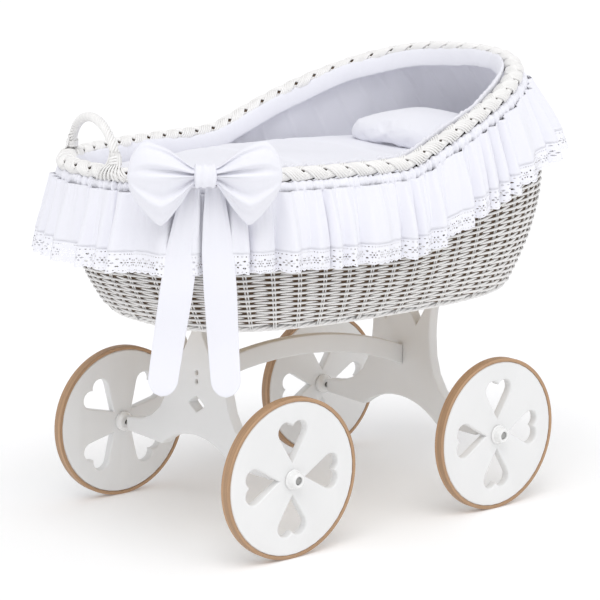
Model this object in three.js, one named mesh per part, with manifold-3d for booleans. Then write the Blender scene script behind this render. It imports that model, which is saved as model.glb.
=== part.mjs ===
// Bassinet on a stand: a wicker basket with bedding, frill and bow, carried by two hourglass end panels
// on four wooden wheels. Millimetres, +Z up, +X towards the head end.
import * as THREE from "three";
import { ParametricGeometry } from "three/addons/geometries/ParametricGeometry.js";
import { mergeVertices } from "three/addons/utils/BufferGeometryUtils.js";
import Module from "manifold-3d";

// ---- Clearances -----------------------------------------------------------------------------------
const GAP = 0.3; // between pieces that touch
const RUNNING_GAP = 0.4; // around the bolt that a wheel turns on
const SIDE_PLAY = 0.5; // end float of a wheel on its bolt
const CLOTH_GAP = 3; // between soft pieces and their neighbours

// ---- Wheels ---------------------------------------------------------------------------------------
const WHEEL_RADIUS = 140;
const WHEEL_SIDES = 40; // flats around the tyre
const WHEEL_THICKNESS = 18;
const WHEELBASE = 482;
const TRACK = 494; // middle of the near wheels to middle of the far ones
const TYRE_BAND = 6;
const WHEEL_HEARTS = 4;
const WHEEL_HEART_START = 28; // hub centre to a heart's tip
const WHEEL_HEART_LENGTH = 72;
const WHEEL_HEART_WIDTH = 62;
const HUB_SIDES = 16;
const CAP_BASE_RADIUS = 18;
const CAP_END_RADIUS = 12.5;
const CAP_LIP = 3;
const CAP_LENGTH = 17.5;
const CAP_WELL_RADIUS = 7;
const CAP_WELL_DEPTH = 9;
const COLLAR_RADIUS = 18.7;
const COLLAR_END_RADIUS = 14;
const COLLAR_LENGTH = 14;
const BOLT_RADIUS = 4;
const BOLT_HEAD_RADIUS = 5.8;
const BOLT_HEAD_HEIGHT = 5;
const BOLT_GRIP = 26; // length of bolt inside the panel
const INSERT_RADIUS = 6;
const INSERT_LENGTH = 30;

// ---- End panels and stretcher -----------------------------------------------------------------------
const PANEL_THICKNESS = 22;
const PANEL_TIP_Y = 212; // half the span over the wheel tips
const PANEL_TIP_ABOVE_AXLE = 16;
const PANEL_TIP_BELOW_AXLE = 11;
const PANEL_TIP_CORNER = 7;
const PANEL_TOE_Y = 104; // where each leg's lower edge meets the arch
const PANEL_TOE_BELOW_AXLE = 13;
const PANEL_ARCH_Z = 163;
const PANEL_WAIST_Y = 79;
const PANEL_WAIST_Z = 292;
const PANEL_TOP_Y = 92;
const PANEL_HEART_Y = 42;
const PANEL_HEART_TIP_Z = 307;
const PANEL_HEART_LENGTH = 64;
const PANEL_HEART_WIDTH = 56;
const DIAMOND_WIDTH = 46;
const DIAMOND_HEIGHT = 30;
const DIAMOND_Z = 221;
const DIAMOND_CORNER = 5;
const STRETCHER_THICKNESS = 18;
const STRETCHER_HEIGHT = 35;
const STRETCHER_CREST_X = -35;
const STRETCHER_CREST_Z = 314;
const STRETCHER_RADIUS = 725; // of the arch
const DOWEL_RADIUS = 4;
const DOWEL_LENGTH = 30;
const DOWEL_PITCH = 16;
const DOWEL_SIDES = 10;

// ---- Basket ---------------------------------------------------------------------------------------
const BASE_Z = 384; // underside of the basket
const BASE_FOOT_X = -371;
const BASE_HEAD_X = 407;
const BASE_HALF_WIDTH = 219.5;
const BASE_POWER = 2.67; // of the superellipse that the outline follows
const RIM_MIDDLE_X = -5;
const RIM_FOOT_LENGTH = 465;
const RIM_HEAD_LENGTH = 397;
const RIM_HALF_WIDTH = 270;
const RIM_POWER = 2.62;
const RIM_TAPER = 0.12; // how much narrower the foot end is
const RIM_LOW_Z = 655;
const RIM_RISE = 154; // from the low part to the head tip
const RIM_RISE_POWER = 0.89;
const RIM_EASE = 22; // softens the bend where the rise starts
const WALL_THICKNESS = 10;
const WALL_FULLNESS = 1.77; // how quickly the sides reach the rim's width
const END_FULLNESS = 1.28;
const HEAD_BULGE = 87;
const FOOT_BULGE = 15;
const SIDE_BULGE = 25;
const BORDER_HEIGHT = 13;
const BORDER_WIDTH = 15;
const BRAID_HALF_WIDTH = 17;
const BRAID_HALF_HEIGHT = 14.5;
const BOARD_THICKNESS = 9;
const SCREW_RADIUS = 2.2;
const SCREW_HEAD_RADIUS = 4.5;
const SCREW_LENGTH = 45;
const SCREW_Y = 80;
const HANDLE_NEAR_ANGLE = 190; // where the handle's feet stand on the rim, in degrees
const HANDLE_FAR_ANGLE = 143;
const HANDLE_RADIUS = 8;
const HANDLE_HEIGHT = 65; // top of the arch's centre line over the braid's top
const LASHING_LENGTH = 34;
const LASHING_THICKNESS = 3;
const LASHING_GAP = 1.5; // lets the lashing's flats clear the handle's

// ---- Soft goods -----------------------------------------------------------------------------------
const MATTRESS_THICKNESS = 100;
const COVERLET_TOP_Z = 640;
const COVERLET_EDGE = 24;
const PILLOW_LENGTH = 205; // along X
const PILLOW_WIDTH = 290;
const PILLOW_THICKNESS = 60;
const PILLOW_HEAD_X = 376;
const PILLOW_POWER = 3;
const LINING_OFFSET = 20; // wall's middle to the lining
const LINING_THICKNESS = 4;
const BEDDING_GAP = 8; // lining to mattress and coverlet
const CASING_THICKNESS = 9;
const CASING_HEIGHT = 12;
const FRILL_DROP = 152; // rim centre line to the lace's edge
const LACE_DEPTH = 35;
const FRILL_FLARE = 20;
const FRILL_FOOT_FLARE = 14; // added at the foot end
const FRILL_THICKNESS = 10;
const BOW_ANGLE = 222; // on the rim, in degrees
const BOW_STANDOFF = 58; // rim centre line to the middle of the bow
const BOW_SHIFT = 1; // along the rim
const LOOP_Z = 655;
const LOOP_LENGTH = 100;
const LOOP_HEIGHT = 138;
const LOOP_THICKNESS = 38;
const KNOT_Z = 668;
const KNOT_WIDTH = 36;
const KNOT_HEIGHT = 40;
const KNOT_THICKNESS = 44;
const TAIL_TOP_WIDTH = 28;
const TAIL_WIDTH = 54;
const TAIL_END_WIDTH = 48;
const TAIL_THICKNESS = 3;
const TAIL_DROP = 342;
const TAIL_POINT = 26; // length of the pointed end
const TAIL_STANDOFF = 35; // rim centre line to the tails' upper ends
const TAIL_TILT = 8; // degrees outwards, over the frill
const TAIL_LEANS = { left: 9, right: -3 }; // degrees from the vertical
const TAIL_STARTS = { left: -20, right: 16 }; // beside the middle of the knot

// ---- Solids ---------------------------------------------------------------------------------------
const wasm = await Module();
wasm.setup();
const TURN = 2 * Math.PI;
const radians = THREE.MathUtils.degToRad;
const lerp = THREE.MathUtils.lerp;

// Merges a closed geometry's shared vertices, so that only its shape is left.
function welded(geometry) {
  const bare = new THREE.BufferGeometry();
  bare.setIndex(geometry.index);
  bare.setAttribute("position", geometry.getAttribute("position"));
  return mergeVertices(bare, 1e-3);
}

function solid(geometry) {
  const { index, attributes } = welded(geometry);
  const triVerts = new Uint32Array(index.array);
  const mesh = { numProp: 3, vertProperties: attributes.position.array, triVerts };
  return new wasm.Manifold(new wasm.Mesh(mesh));
}

// Cuts each tool out of a body.
function cut(body, ...tools) {
  let left = solid(body);
  for (const tool of tools) left = left.subtract(solid(tool));
  const { vertProperties, triVerts } = left.getMesh();
  const geometry = new THREE.BufferGeometry();
  geometry.setAttribute("position", new THREE.BufferAttribute(vertProperties, 3));
  geometry.setIndex(new THREE.BufferAttribute(triVerts, 1));
  return geometry;
}

// Curves get the given number of segments, and arcs twice as many.
function extrude(shape, depth, segments = 6) {
  return new THREE.ExtrudeGeometry(shape, { depth, bevelEnabled: false, curveSegments: segments });
}

// A body of revolution about +Z from [radius, height] pairs, with flats centred on the axes.
function turned(profile, sides) {
  const points = profile.map(([radius, height]) => new THREE.Vector2(radius, height));
  return new THREE.LatheGeometry(points, sides, Math.PI / sides).rotateX(Math.PI / 2);
}

function cylinder(radius, from, to, sides) {
  return turned([[0, from], [radius, from], [radius, to], [0, to]], sides);
}

// Turns a geometry drawn in (y, z) and extruded along x into the part's axes, starting at x.
function standAcross(geometry, x) {
  const axes = [new THREE.Vector3(0, 1, 0), new THREE.Vector3(0, 0, 1), new THREE.Vector3(1, 0, 0)];
  return geometry.applyMatrix4(new THREE.Matrix4().makeBasis(...axes)).translate(x, 0, 0);
}

// The outline of a regular polygon whose flats touch a circle of the given radius.
function flatRing(Type, radius, sides) {
  const path = new Type();
  path.absarc(0, 0, radius / Math.cos(Math.PI / sides), Math.PI / sides, TURN + Math.PI / sides, false);
  return path;
}

// A heart with its tip at (x, y): two straight sides that run onto two round lobes.
function heart(Type, x, y, length, width, turn = 0) {
  const lobe = width * 0.27;
  const lobeX = width / 2 - lobe;
  const lobeY = length - lobe;
  const lean = Math.atan2(lobeX, lobeY) + Math.asin(lobe / Math.hypot(lobeX, lobeY));
  const notch = Math.acos(lobeX / lobe);
  const place = (px, py) => [
    x + px * Math.cos(turn) - py * Math.sin(turn),
    y + px * Math.sin(turn) + py * Math.cos(turn),
  ];
  const path = new Type();
  path.moveTo(...place(0, 0));
  path.absarc(...place(lobeX, lobeY), lobe, turn - lean, turn + Math.PI - notch, false);
  path.absarc(...place(-lobeX, lobeY), lobe, turn + notch, turn + Math.PI + lean, false);
  path.lineTo(...place(0, 0));
  return path;
}

// ---- Basket surfaces ------------------------------------------------------------------------------
// Every ring of the basket is a superellipse, longer on one side of its middle than on the other.
const RIM = {
  foot: RIM_FOOT_LENGTH,
  head: RIM_HEAD_LENGTH,
  halfWidth: RIM_HALF_WIDTH,
  power: RIM_POWER,
  taper: RIM_TAPER,
};
const BASE = {
  foot: RIM_MIDDLE_X - BASE_FOOT_X,
  head: BASE_HEAD_X - RIM_MIDDLE_X,
  halfWidth: BASE_HALF_WIDTH,
  power: BASE_POWER,
  taper: 0,
};

function outline(angle, { foot, head, halfWidth, power, taper }) {
  const c = Math.cos(angle);
  const s = Math.sin(angle);
  const length = c < 0 ? foot : head;
  const along = Math.sign(c) * Math.abs(c) ** (2 / power);
  const narrowing = 1 - taper * Math.max(0, -along);
  const x = RIM_MIDDLE_X + along * length;
  const y = Math.sign(s) * halfWidth * narrowing * Math.abs(s) ** (2 / power);
  const steep = 2 - 2 / power;
  const normal = new THREE.Vector2(
    (Math.sign(c) * Math.abs(c) ** steep) / length,
    (Math.sign(s) * Math.abs(s) ** steep) / halfWidth,
  );
  return { x, y, normal: normal.normalize() };
}

function rimHeight(x) {
  const along = (x + Math.hypot(x, RIM_EASE)) / 2;
  const tip = RIM_MIDDLE_X + RIM_HEAD_LENGTH;
  return RIM_LOW_Z + RIM_RISE * (along / tip) ** RIM_RISE_POWER;
}

// A point of the rim's centre line, moved outwards in plan and upwards.
function rimPoint(angle, out, up) {
  const { x, y, normal } = outline(angle, RIM);
  return new THREE.Vector3(x + normal.x * out, y + normal.y * out, rimHeight(x) + up);
}

const swell = (share, fullness) => (1 - (1 - share) ** fullness) ** (1 / fullness);

// A point of the wall's middle surface, share 0 at the base and 1 at the rim, moved outwards in plan.
function wallPoint(angle, share, out) {
  const rim = outline(angle, RIM);
  const base = outline(angle, BASE);
  const belly = Math.sin(Math.PI * share);
  const along = Math.cos(angle);
  const ends = HEAD_BULGE * Math.max(0, along) ** 2 - FOOT_BULGE * Math.max(0, -along) ** 2;
  const x = lerp(base.x, rim.x, swell(share, END_FULLNESS)) + ends * belly;
  const y = lerp(base.y, rim.y, swell(share, WALL_FULLNESS)) + Math.sin(angle) * SIDE_BULGE * belly;
  const z = lerp(BASE_Z, rimHeight(rim.x), share);
  return new THREE.Vector3(x + rim.normal.x * out, y + rim.normal.y * out, z);
}

// The share of the wall's height at a level z.
function shareAt(angle, z) {
  return THREE.MathUtils.clamp((z - BASE_Z) / (rimPoint(angle, 0, 0).z - BASE_Z), 0, 1);
}

// A surface that closes both ways: section(angle, step) gives the point for each step of the section.
function band(sides, steps, section) {
  const point = (u, v, target) => target.copy(section((u % 1) * TURN, Math.round(v * steps) % steps));
  return new ParametricGeometry(point, sides, steps);
}

// Walks up one face of a wall and down the other: returns [share of the height, side], side 0 or 1.
function upAndDown(step, levels) {
  return step < levels ? [step / (levels - 1), 1] : [(2 * levels - 1 - step) / (levels - 1), 0];
}

// A ring with an oval section around the rim's centre line.
function rimTube(sides, steps, halfWidth, halfHeight, out, up) {
  return band(sides, steps, (angle, step) => {
    const around = (step / steps) * TURN;
    return rimPoint(angle, out + halfWidth * Math.cos(around), up + halfHeight * Math.sin(around));
  });
}

// ---- Materials ------------------------------------------------------------------------------------
const material = (color, roughness, metalness = 0) =>
  new THREE.MeshStandardMaterial({ color, roughness, metalness });
const paint = () => material(0xe6e5e3, 0.45);
const glossPaint = () => material(0xf0f0ef, 0.25);
const ash = () => material(0xc08a5c, 0.55);
const birch = () => material(0xd9c29a, 0.6);
const wicker = () => material(0xe9e7e3, 0.6);
const cotton = () => material(0xe9e8f4, 0.9);
const lace = () => material(0xf4f3fa, 0.85);
const zinc = () => material(0x9a9a98, 0.35, 1);

const bassinet = new THREE.Group();

function add(parent, name, geometry, finish) {
  const mesh = new THREE.Mesh(geometry, finish);
  mesh.name = name;
  parent.add(mesh);
  return mesh;
}

// ---- Wheels ---------------------------------------------------------------------------------------
const DISC_RADIUS = WHEEL_RADIUS - TYRE_BAND - GAP;
const HUB_BORE = BOLT_RADIUS + RUNNING_GAP;
const WHEEL_INNER_Y = (TRACK - WHEEL_THICKNESS) / 2;

function wheelDisc(heartTurn) {
  const disc = cylinder(DISC_RADIUS, 0, WHEEL_THICKNESS, WHEEL_SIDES);
  const tools = [cylinder(HUB_BORE, -1, WHEEL_THICKNESS + 1, HUB_SIDES)];
  for (let i = 0; i < WHEEL_HEARTS; i += 1) {
    const turn = heartTurn + (i * TURN) / WHEEL_HEARTS;
    const x = -Math.sin(turn) * WHEEL_HEART_START;
    const y = Math.cos(turn) * WHEEL_HEART_START;
    const shapeHere = heart(THREE.Shape, x, y, WHEEL_HEART_LENGTH, WHEEL_HEART_WIDTH, turn);
    tools.push(extrude(shapeHere, WHEEL_THICKNESS + 2, 4).translate(0, 0, -1));
  }
  return cut(disc, ...tools);
}

function tyre() {
  const shape = flatRing(THREE.Shape, WHEEL_RADIUS, WHEEL_SIDES);
  shape.holes.push(flatRing(THREE.Path, WHEEL_RADIUS - TYRE_BAND, WHEEL_SIDES));
  return extrude(shape, WHEEL_THICKNESS, WHEEL_SIDES / 2);
}

function hubCap() {
  const floor = CAP_LENGTH - CAP_WELL_DEPTH;
  const profile = [
    [HUB_BORE, 0], [CAP_BASE_RADIUS, 0], [CAP_BASE_RADIUS, CAP_LIP], [CAP_END_RADIUS, CAP_LENGTH],
    [CAP_WELL_RADIUS, CAP_LENGTH], [CAP_WELL_RADIUS, floor], [HUB_BORE, floor], [HUB_BORE, 0],
  ];
  return turned(profile, HUB_SIDES).translate(0, 0, WHEEL_THICKNESS + GAP);
}

function hubCollar() {
  const profile = [
    [HUB_BORE, -COLLAR_LENGTH], [COLLAR_END_RADIUS, -COLLAR_LENGTH], [COLLAR_RADIUS, -COLLAR_LENGTH / 2],
    [COLLAR_RADIUS, 0], [HUB_BORE, 0], [HUB_BORE, -COLLAR_LENGTH],
  ];
  return turned(profile, HUB_SIDES).translate(0, 0, -GAP);
}

// Heights along the wheel's axis, from the wheel's inner face outwards.
const BOLT_SEAT = WHEEL_THICKNESS + GAP + CAP_LENGTH - CAP_WELL_DEPTH + SIDE_PLAY;
const PANEL_TIP_HEIGHT = PANEL_TIP_Y - WHEEL_INNER_Y;

function axleBolt() {
  const end = PANEL_TIP_HEIGHT - BOLT_GRIP;
  const top = BOLT_SEAT + BOLT_HEAD_HEIGHT;
  const profile = [
    [0, end], [BOLT_RADIUS, end], [BOLT_RADIUS, BOLT_SEAT], [BOLT_HEAD_RADIUS, BOLT_SEAT],
    [BOLT_HEAD_RADIUS, top], [0, top],
  ];
  return turned(profile, HUB_SIDES);
}

function axleInsert() {
  const inner = BOLT_RADIUS + GAP;
  const end = PANEL_TIP_HEIGHT - INSERT_LENGTH;
  const top = PANEL_TIP_HEIGHT - GAP;
  const profile = [[inner, end], [INSERT_RADIUS, end], [INSERT_RADIUS, top], [inner, top], [inner, end]];
  return turned(profile, HUB_SIDES);
}

const WHEELS = [
  { name: "near_foot", end: -1, side: -1, heartTurn: 0 },
  { name: "near_head", end: 1, side: -1, heartTurn: 0 },
  { name: "far_foot", end: -1, side: 1, heartTurn: Math.PI / 4 },
  { name: "far_head", end: 1, side: 1, heartTurn: 0 },
];

function addWheels() {
  for (const { name, end, side, heartTurn } of WHEELS) {
    const wheel = new THREE.Group();
    wheel.position.set((end * WHEELBASE) / 2, side * WHEEL_INNER_Y, WHEEL_RADIUS);
    wheel.rotation.x = (-side * Math.PI) / 2;
    bassinet.add(wheel);
    add(wheel, `wheel_disc_${name}`, wheelDisc(heartTurn), paint());
    add(wheel, `wheel_tyre_${name}`, tyre(), ash());
    add(wheel, `hub_cap_${name}`, hubCap(), glossPaint());
    add(wheel, `hub_collar_${name}`, hubCollar(), glossPaint());
    add(wheel, `axle_bolt_${name}`, axleBolt(), zinc());
    add(wheel, `axle_insert_${name}`, axleInsert(), zinc());
  }
}

// ---- End panels and stretcher -----------------------------------------------------------------------
const PANEL_TOP_Z = BASE_Z - GAP;

function panelShape() {
  const shape = new THREE.Shape();
  const tip = PANEL_TIP_Y;
  const corner = PANEL_TIP_CORNER;
  const top = WHEEL_RADIUS + PANEL_TIP_ABOVE_AXLE;
  const bottom = WHEEL_RADIUS - PANEL_TIP_BELOW_AXLE;
  const toe = WHEEL_RADIUS - PANEL_TOE_BELOW_AXLE;
  shape.moveTo(-PANEL_TOE_Y, toe);
  shape.bezierCurveTo(-75, 150, -40, PANEL_ARCH_Z, 0, PANEL_ARCH_Z);
  shape.bezierCurveTo(40, PANEL_ARCH_Z, 75, 150, PANEL_TOE_Y, toe);
  shape.lineTo(tip - corner, bottom);
  shape.quadraticCurveTo(tip, bottom, tip, bottom + corner);
  shape.lineTo(tip, top - corner);
  shape.quadraticCurveTo(tip, top, tip - corner, top);
  shape.bezierCurveTo(120, 161, PANEL_WAIST_Y, 207, PANEL_WAIST_Y, PANEL_WAIST_Z);
  shape.quadraticCurveTo(PANEL_WAIST_Y, 340, PANEL_TOP_Y, PANEL_TOP_Z);
  shape.lineTo(-PANEL_TOP_Y, PANEL_TOP_Z);
  shape.quadraticCurveTo(-PANEL_WAIST_Y, 340, -PANEL_WAIST_Y, PANEL_WAIST_Z);
  shape.bezierCurveTo(-PANEL_WAIST_Y, 207, -120, 161, -tip + corner, top);
  shape.quadraticCurveTo(-tip, top, -tip, top - corner);
  shape.lineTo(-tip, bottom + corner);
  shape.quadraticCurveTo(-tip, bottom, -tip + corner, bottom);
  shape.closePath();
  return shape;
}

function diamond() {
  const path = new THREE.Path();
  const halfWidth = DIAMOND_WIDTH / 2;
  const halfHeight = DIAMOND_HEIGHT / 2;
  const ends = [[halfWidth, 0], [0, halfHeight], [-halfWidth, 0], [0, -halfHeight]];
  const side = Math.hypot(DIAMOND_WIDTH, DIAMOND_HEIGHT) / 2;
  const towards = (from, to) => [0, 1].map((i) => lerp(from[i], to[i], DIAMOND_CORNER / side));
  ends.forEach((end, i) => {
    const entry = towards(end, ends[(i + 3) % 4]);
    const leave = towards(end, ends[(i + 1) % 4]);
    if (i === 0) path.moveTo(entry[0], DIAMOND_Z + entry[1]);
    else path.lineTo(entry[0], DIAMOND_Z + entry[1]);
    path.quadraticCurveTo(end[0], DIAMOND_Z + end[1], leave[0], DIAMOND_Z + leave[1]);
  });
  path.closePath();
  return path;
}

const STRETCHER_END_X = WHEELBASE / 2 - PANEL_THICKNESS / 2 - GAP;
const archTop = (x) =>
  STRETCHER_CREST_Z - STRETCHER_RADIUS + Math.sqrt(STRETCHER_RADIUS ** 2 - (x - STRETCHER_CREST_X) ** 2);

// Heights of the dowels at one end of the stretcher.
function dowelHeights(end) {
  const middle = archTop(end * STRETCHER_END_X) - STRETCHER_HEIGHT / 2;
  return [middle - DOWEL_PITCH / 2, middle + DOWEL_PITCH / 2];
}

// A dowel, or with a clearance the hole for it, across the joint at one end of the stretcher.
function dowel(end, z, clearance) {
  const half = DOWEL_LENGTH / 2 - GAP + clearance;
  const joint = end * (STRETCHER_END_X + GAP / 2);
  const rod = cylinder(DOWEL_RADIUS + clearance, -half, half, DOWEL_SIDES);
  return rod.rotateY(Math.PI / 2).translate(joint, 0, z);
}

function basketScrew(end, side, clearance) {
  const top = BASE_Z + BOARD_THICKNESS - GAP;
  const neck = top - 3;
  const tip = top - SCREW_LENGTH - clearance;
  const shank = SCREW_RADIUS + clearance;
  const head = SCREW_HEAD_RADIUS + clearance;
  const crown = top + clearance * 4;
  const under = neck - clearance;
  const profile = [[0, tip], [shank, tip], [shank, under], [head, under], [head, crown], [0, crown]];
  return turned(profile, 8).translate((end * WHEELBASE) / 2, side * SCREW_Y, 0);
}

function endPanel(end) {
  const x = (end * WHEELBASE) / 2;
  const shape = panelShape();
  for (const side of [-1, 1]) {
    const y = side * PANEL_HEART_Y;
    shape.holes.push(heart(THREE.Path, y, PANEL_HEART_TIP_Z, PANEL_HEART_LENGTH, PANEL_HEART_WIDTH));
  }
  if (end < 0) shape.holes.push(diamond());
  const board = standAcross(extrude(shape, PANEL_THICKNESS), x - PANEL_THICKNESS / 2);
  const tools = dowelHeights(end).map((z) => dowel(end, z, GAP));
  for (const side of [-1, 1]) {
    const inner = PANEL_TIP_Y - INSERT_LENGTH - GAP;
    const bore = cylinder(INSERT_RADIUS + GAP, inner, PANEL_TIP_Y + 2, HUB_SIDES);
    tools.push(bore.rotateX((-side * Math.PI) / 2).translate(x, 0, WHEEL_RADIUS));
    tools.push(basketScrew(end, side, GAP));
  }
  return cut(board, ...tools);
}

function stretcher() {
  const shape = new THREE.Shape();
  const inner = STRETCHER_RADIUS - STRETCHER_HEIGHT;
  const centreZ = STRETCHER_CREST_Z - STRETCHER_RADIUS;
  const angleAt = (x, radius) => Math.acos((x - STRETCHER_CREST_X) / radius);
  const ends = [-STRETCHER_END_X, STRETCHER_END_X];
  const [topFoot, topHead] = ends.map((x) => angleAt(x, STRETCHER_RADIUS));
  const [lowFoot, lowHead] = ends.map((x) => angleAt(x, inner));
  shape.absarc(STRETCHER_CREST_X, centreZ, STRETCHER_RADIUS, topFoot, topHead, true);
  shape.absarc(STRETCHER_CREST_X, centreZ, inner, lowHead, lowFoot, false);
  shape.closePath();
  const board = extrude(shape, STRETCHER_THICKNESS, 8).rotateX(Math.PI / 2);
  board.translate(0, STRETCHER_THICKNESS / 2, 0);
  const holes = [-1, 1].flatMap((end) => dowelHeights(end).map((z) => dowel(end, z, GAP)));
  return cut(board, ...holes);
}

function addStand() {
  for (const [end, name] of [[-1, "foot"], [1, "head"]]) {
    add(bassinet, `${name}_panel`, endPanel(end), paint());
    const [low, high] = dowelHeights(end);
    add(bassinet, `stretcher_dowel_${name}_lower`, dowel(end, low, 0), birch());
    add(bassinet, `stretcher_dowel_${name}_upper`, dowel(end, high, 0), birch());
    for (const [side, place] of [[-1, "near"], [1, "far"]]) {
      add(bassinet, `basket_screw_${place}_${name}`, basketScrew(end, side, 0), zinc());
    }
  }
  add(bassinet, "stretcher", stretcher(), paint());
}

// ---- Basket ---------------------------------------------------------------------------------------
const BASKET_SIDES = 56;
const WALL_LEVELS = 7;

function floorBoard() {
  const shape = new THREE.Shape();
  const rim = [];
  for (let i = 0; i < BASKET_SIDES; i += 1) {
    const { x, y } = wallPoint((i / BASKET_SIDES) * TURN, 0, -BORDER_WIDTH / 2 - GAP);
    rim.push(new THREE.Vector2(x, y));
  }
  shape.setFromPoints(rim);
  const holes = [-1, 1].flatMap((end) => [-1, 1].map((side) => basketScrew(end, side, GAP)));
  return cut(extrude(shape, BOARD_THICKNESS).translate(0, 0, BASE_Z), ...holes);
}

function footBorder() {
  const steps = 8;
  return band(BASKET_SIDES, steps, (angle, step) => {
    const around = (step / steps) * TURN;
    const point = wallPoint(angle, 0, (BORDER_WIDTH / 2) * Math.cos(around));
    return point.setZ(BASE_Z + (BORDER_HEIGHT / 2) * (1 + Math.sin(around)));
  });
}

function wickerWall() {
  const low = BASE_Z + BORDER_HEIGHT + GAP;
  return band(BASKET_SIDES, 2 * WALL_LEVELS, (angle, step) => {
    const [level, side] = upAndDown(step, WALL_LEVELS);
    const top = rimPoint(angle, 0, -BRAID_HALF_HEIGHT - GAP).z;
    const share = shareAt(angle, lerp(low, top, level));
    return wallPoint(angle, share, (side - 0.5) * WALL_THICKNESS);
  });
}

// The handle's centre line from one share of its length to another: half an ellipse over two feet.
class HandleLine extends THREE.Curve {
  constructor(from, to) {
    super();
    this.from = from;
    this.to = to;
  }

  getPoint(t, target = new THREE.Vector3()) {
    const turn = lerp(this.from, this.to, t) * Math.PI;
    const up = BRAID_HALF_HEIGHT + GAP;
    target.copy(rimPoint(radians(HANDLE_NEAR_ANGLE), 0, up));
    target.lerp(rimPoint(radians(HANDLE_FAR_ANGLE), 0, up), (1 - Math.cos(turn)) / 2);
    target.z += HANDLE_HEIGHT * Math.sin(turn);
    return target;
  }
}

function circle(Type, radius) {
  const path = new Type();
  path.absarc(0, 0, radius, 0, TURN, false);
  return path;
}

function handle() {
  const options = { steps: 20, extrudePath: new HandleLine(0, 1), curveSegments: 5 };
  return new THREE.ExtrudeGeometry(circle(THREE.Shape, HANDLE_RADIUS), options);
}

function lashing(from, to) {
  const shape = circle(THREE.Shape, HANDLE_RADIUS + LASHING_GAP + LASHING_THICKNESS);
  shape.holes.push(circle(THREE.Path, HANDLE_RADIUS + LASHING_GAP));
  const options = { steps: 4, extrudePath: new HandleLine(from, to), curveSegments: 5 };
  return new THREE.ExtrudeGeometry(shape, options);
}

function addBasket() {
  add(bassinet, "floor_board", floorBoard(), birch());
  add(bassinet, "foot_border", footBorder(), wicker());
  add(bassinet, "wicker_wall", wickerWall(), wicker());
  add(bassinet, "rim_braid", rimTube(BASKET_SIDES, 8, BRAID_HALF_WIDTH, BRAID_HALF_HEIGHT, 0, 0), wicker());
  add(bassinet, "handle", handle(), wicker());
  const share = LASHING_LENGTH / new HandleLine(0, 1).getLength();
  add(bassinet, "handle_lashing_near", lashing(0.004, share), wicker());
  add(bassinet, "handle_lashing_far", lashing(1 - share, 0.996), wicker());
}

// ---- Soft goods -----------------------------------------------------------------------------------
const FLOOR_TOP = BASE_Z + BORDER_HEIGHT + GAP;
const MATTRESS_TOP = FLOOR_TOP + MATTRESS_THICKNESS;

// A closed cushion from [share of the plan, height] pairs; edge(angle, z) gives its outline.
function cushion(profile, sides, middleX, edge) {
  const geometry = turned(profile, sides);
  const position = geometry.getAttribute("position");
  for (let i = 0; i < position.count; i += 1) {
    const angle = Math.atan2(position.getY(i), position.getX(i));
    const share = Math.hypot(position.getX(i), position.getY(i));
    const z = position.getZ(i);
    const rim = edge(angle, z);
    position.setXYZ(i, lerp(middleX, rim.x, share), rim.y * share, z);
  }
  return geometry;
}

const insideLining = (angle, z) =>
  wallPoint(angle, shareAt(angle, z), -LINING_OFFSET - LINING_THICKNESS - BEDDING_GAP);

function mattress() {
  const profile = [[0, FLOOR_TOP], [0.98, FLOOR_TOP], [1, FLOOR_TOP + 15], [1, MATTRESS_TOP - 15],
    [0.98, MATTRESS_TOP], [0, MATTRESS_TOP]];
  return cushion(profile, 40, RIM_MIDDLE_X, insideLining);
}

function coverlet() {
  const low = MATTRESS_TOP + GAP;
  const top = COVERLET_TOP_Z;
  const side = [[0.98, low], [1, low + 15], [1, top - 30], [0.97, top - 12], [0.88, top - 3]];
  const profile = [[0, low], ...side, [0, top]];
  return cushion(profile, 40, RIM_MIDDLE_X, insideLining);
}

function pillow() {
  const low = COVERLET_TOP_Z + GAP;
  const top = low + PILLOW_THICKNESS;
  const middleX = PILLOW_HEAD_X - PILLOW_LENGTH / 2;
  const round = 2 / PILLOW_POWER;
  const edge = (angle) => ({
    x: middleX + (Math.sign(Math.cos(angle)) * PILLOW_LENGTH * Math.abs(Math.cos(angle)) ** round) / 2,
    y: (Math.sign(Math.sin(angle)) * PILLOW_WIDTH * Math.abs(Math.sin(angle)) ** round) / 2,
  });
  const side = [[0.8, low], [0.97, low + 14], [1, low + 26], [0.95, top - 20], [0.75, top - 5]];
  const profile = [[0, low], ...side, [0, top]];
  return cushion(profile, 24, middleX, edge);
}

function lining() {
  const levels = 5;
  return band(48, 2 * levels, (angle, step) => {
    const [level, side] = upAndDown(step, levels);
    const top = rimPoint(angle, 0, -BRAID_HALF_HEIGHT - CLOTH_GAP).z;
    const share = shareAt(angle, lerp(FLOOR_TOP + GAP, top, level));
    return wallPoint(angle, share, -LINING_OFFSET - (1 - side) * LINING_THICKNESS);
  });
}

// A point at a drop below the rim line, outside both the rim line and the wall.
function drapePoint(angle, drop, out) {
  const rim = rimPoint(angle, 0, -drop);
  const wall = wallPoint(angle, shareAt(angle, rim.z), 0);
  const { normal } = outline(angle, RIM);
  const beyond = Math.max(0, (wall.x - rim.x) * normal.x + (wall.y - rim.y) * normal.y);
  return rimPoint(angle, beyond + out, -drop);
}

const DRAPE_START = WALL_THICKNESS / 2 + CLOTH_GAP;
const CASING_TOP = BRAID_HALF_HEIGHT + CLOTH_GAP;
const FRILL_TOP = CASING_TOP + CASING_HEIGHT + GAP;
const LACE_TOP = FRILL_DROP - LACE_DEPTH;

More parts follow.
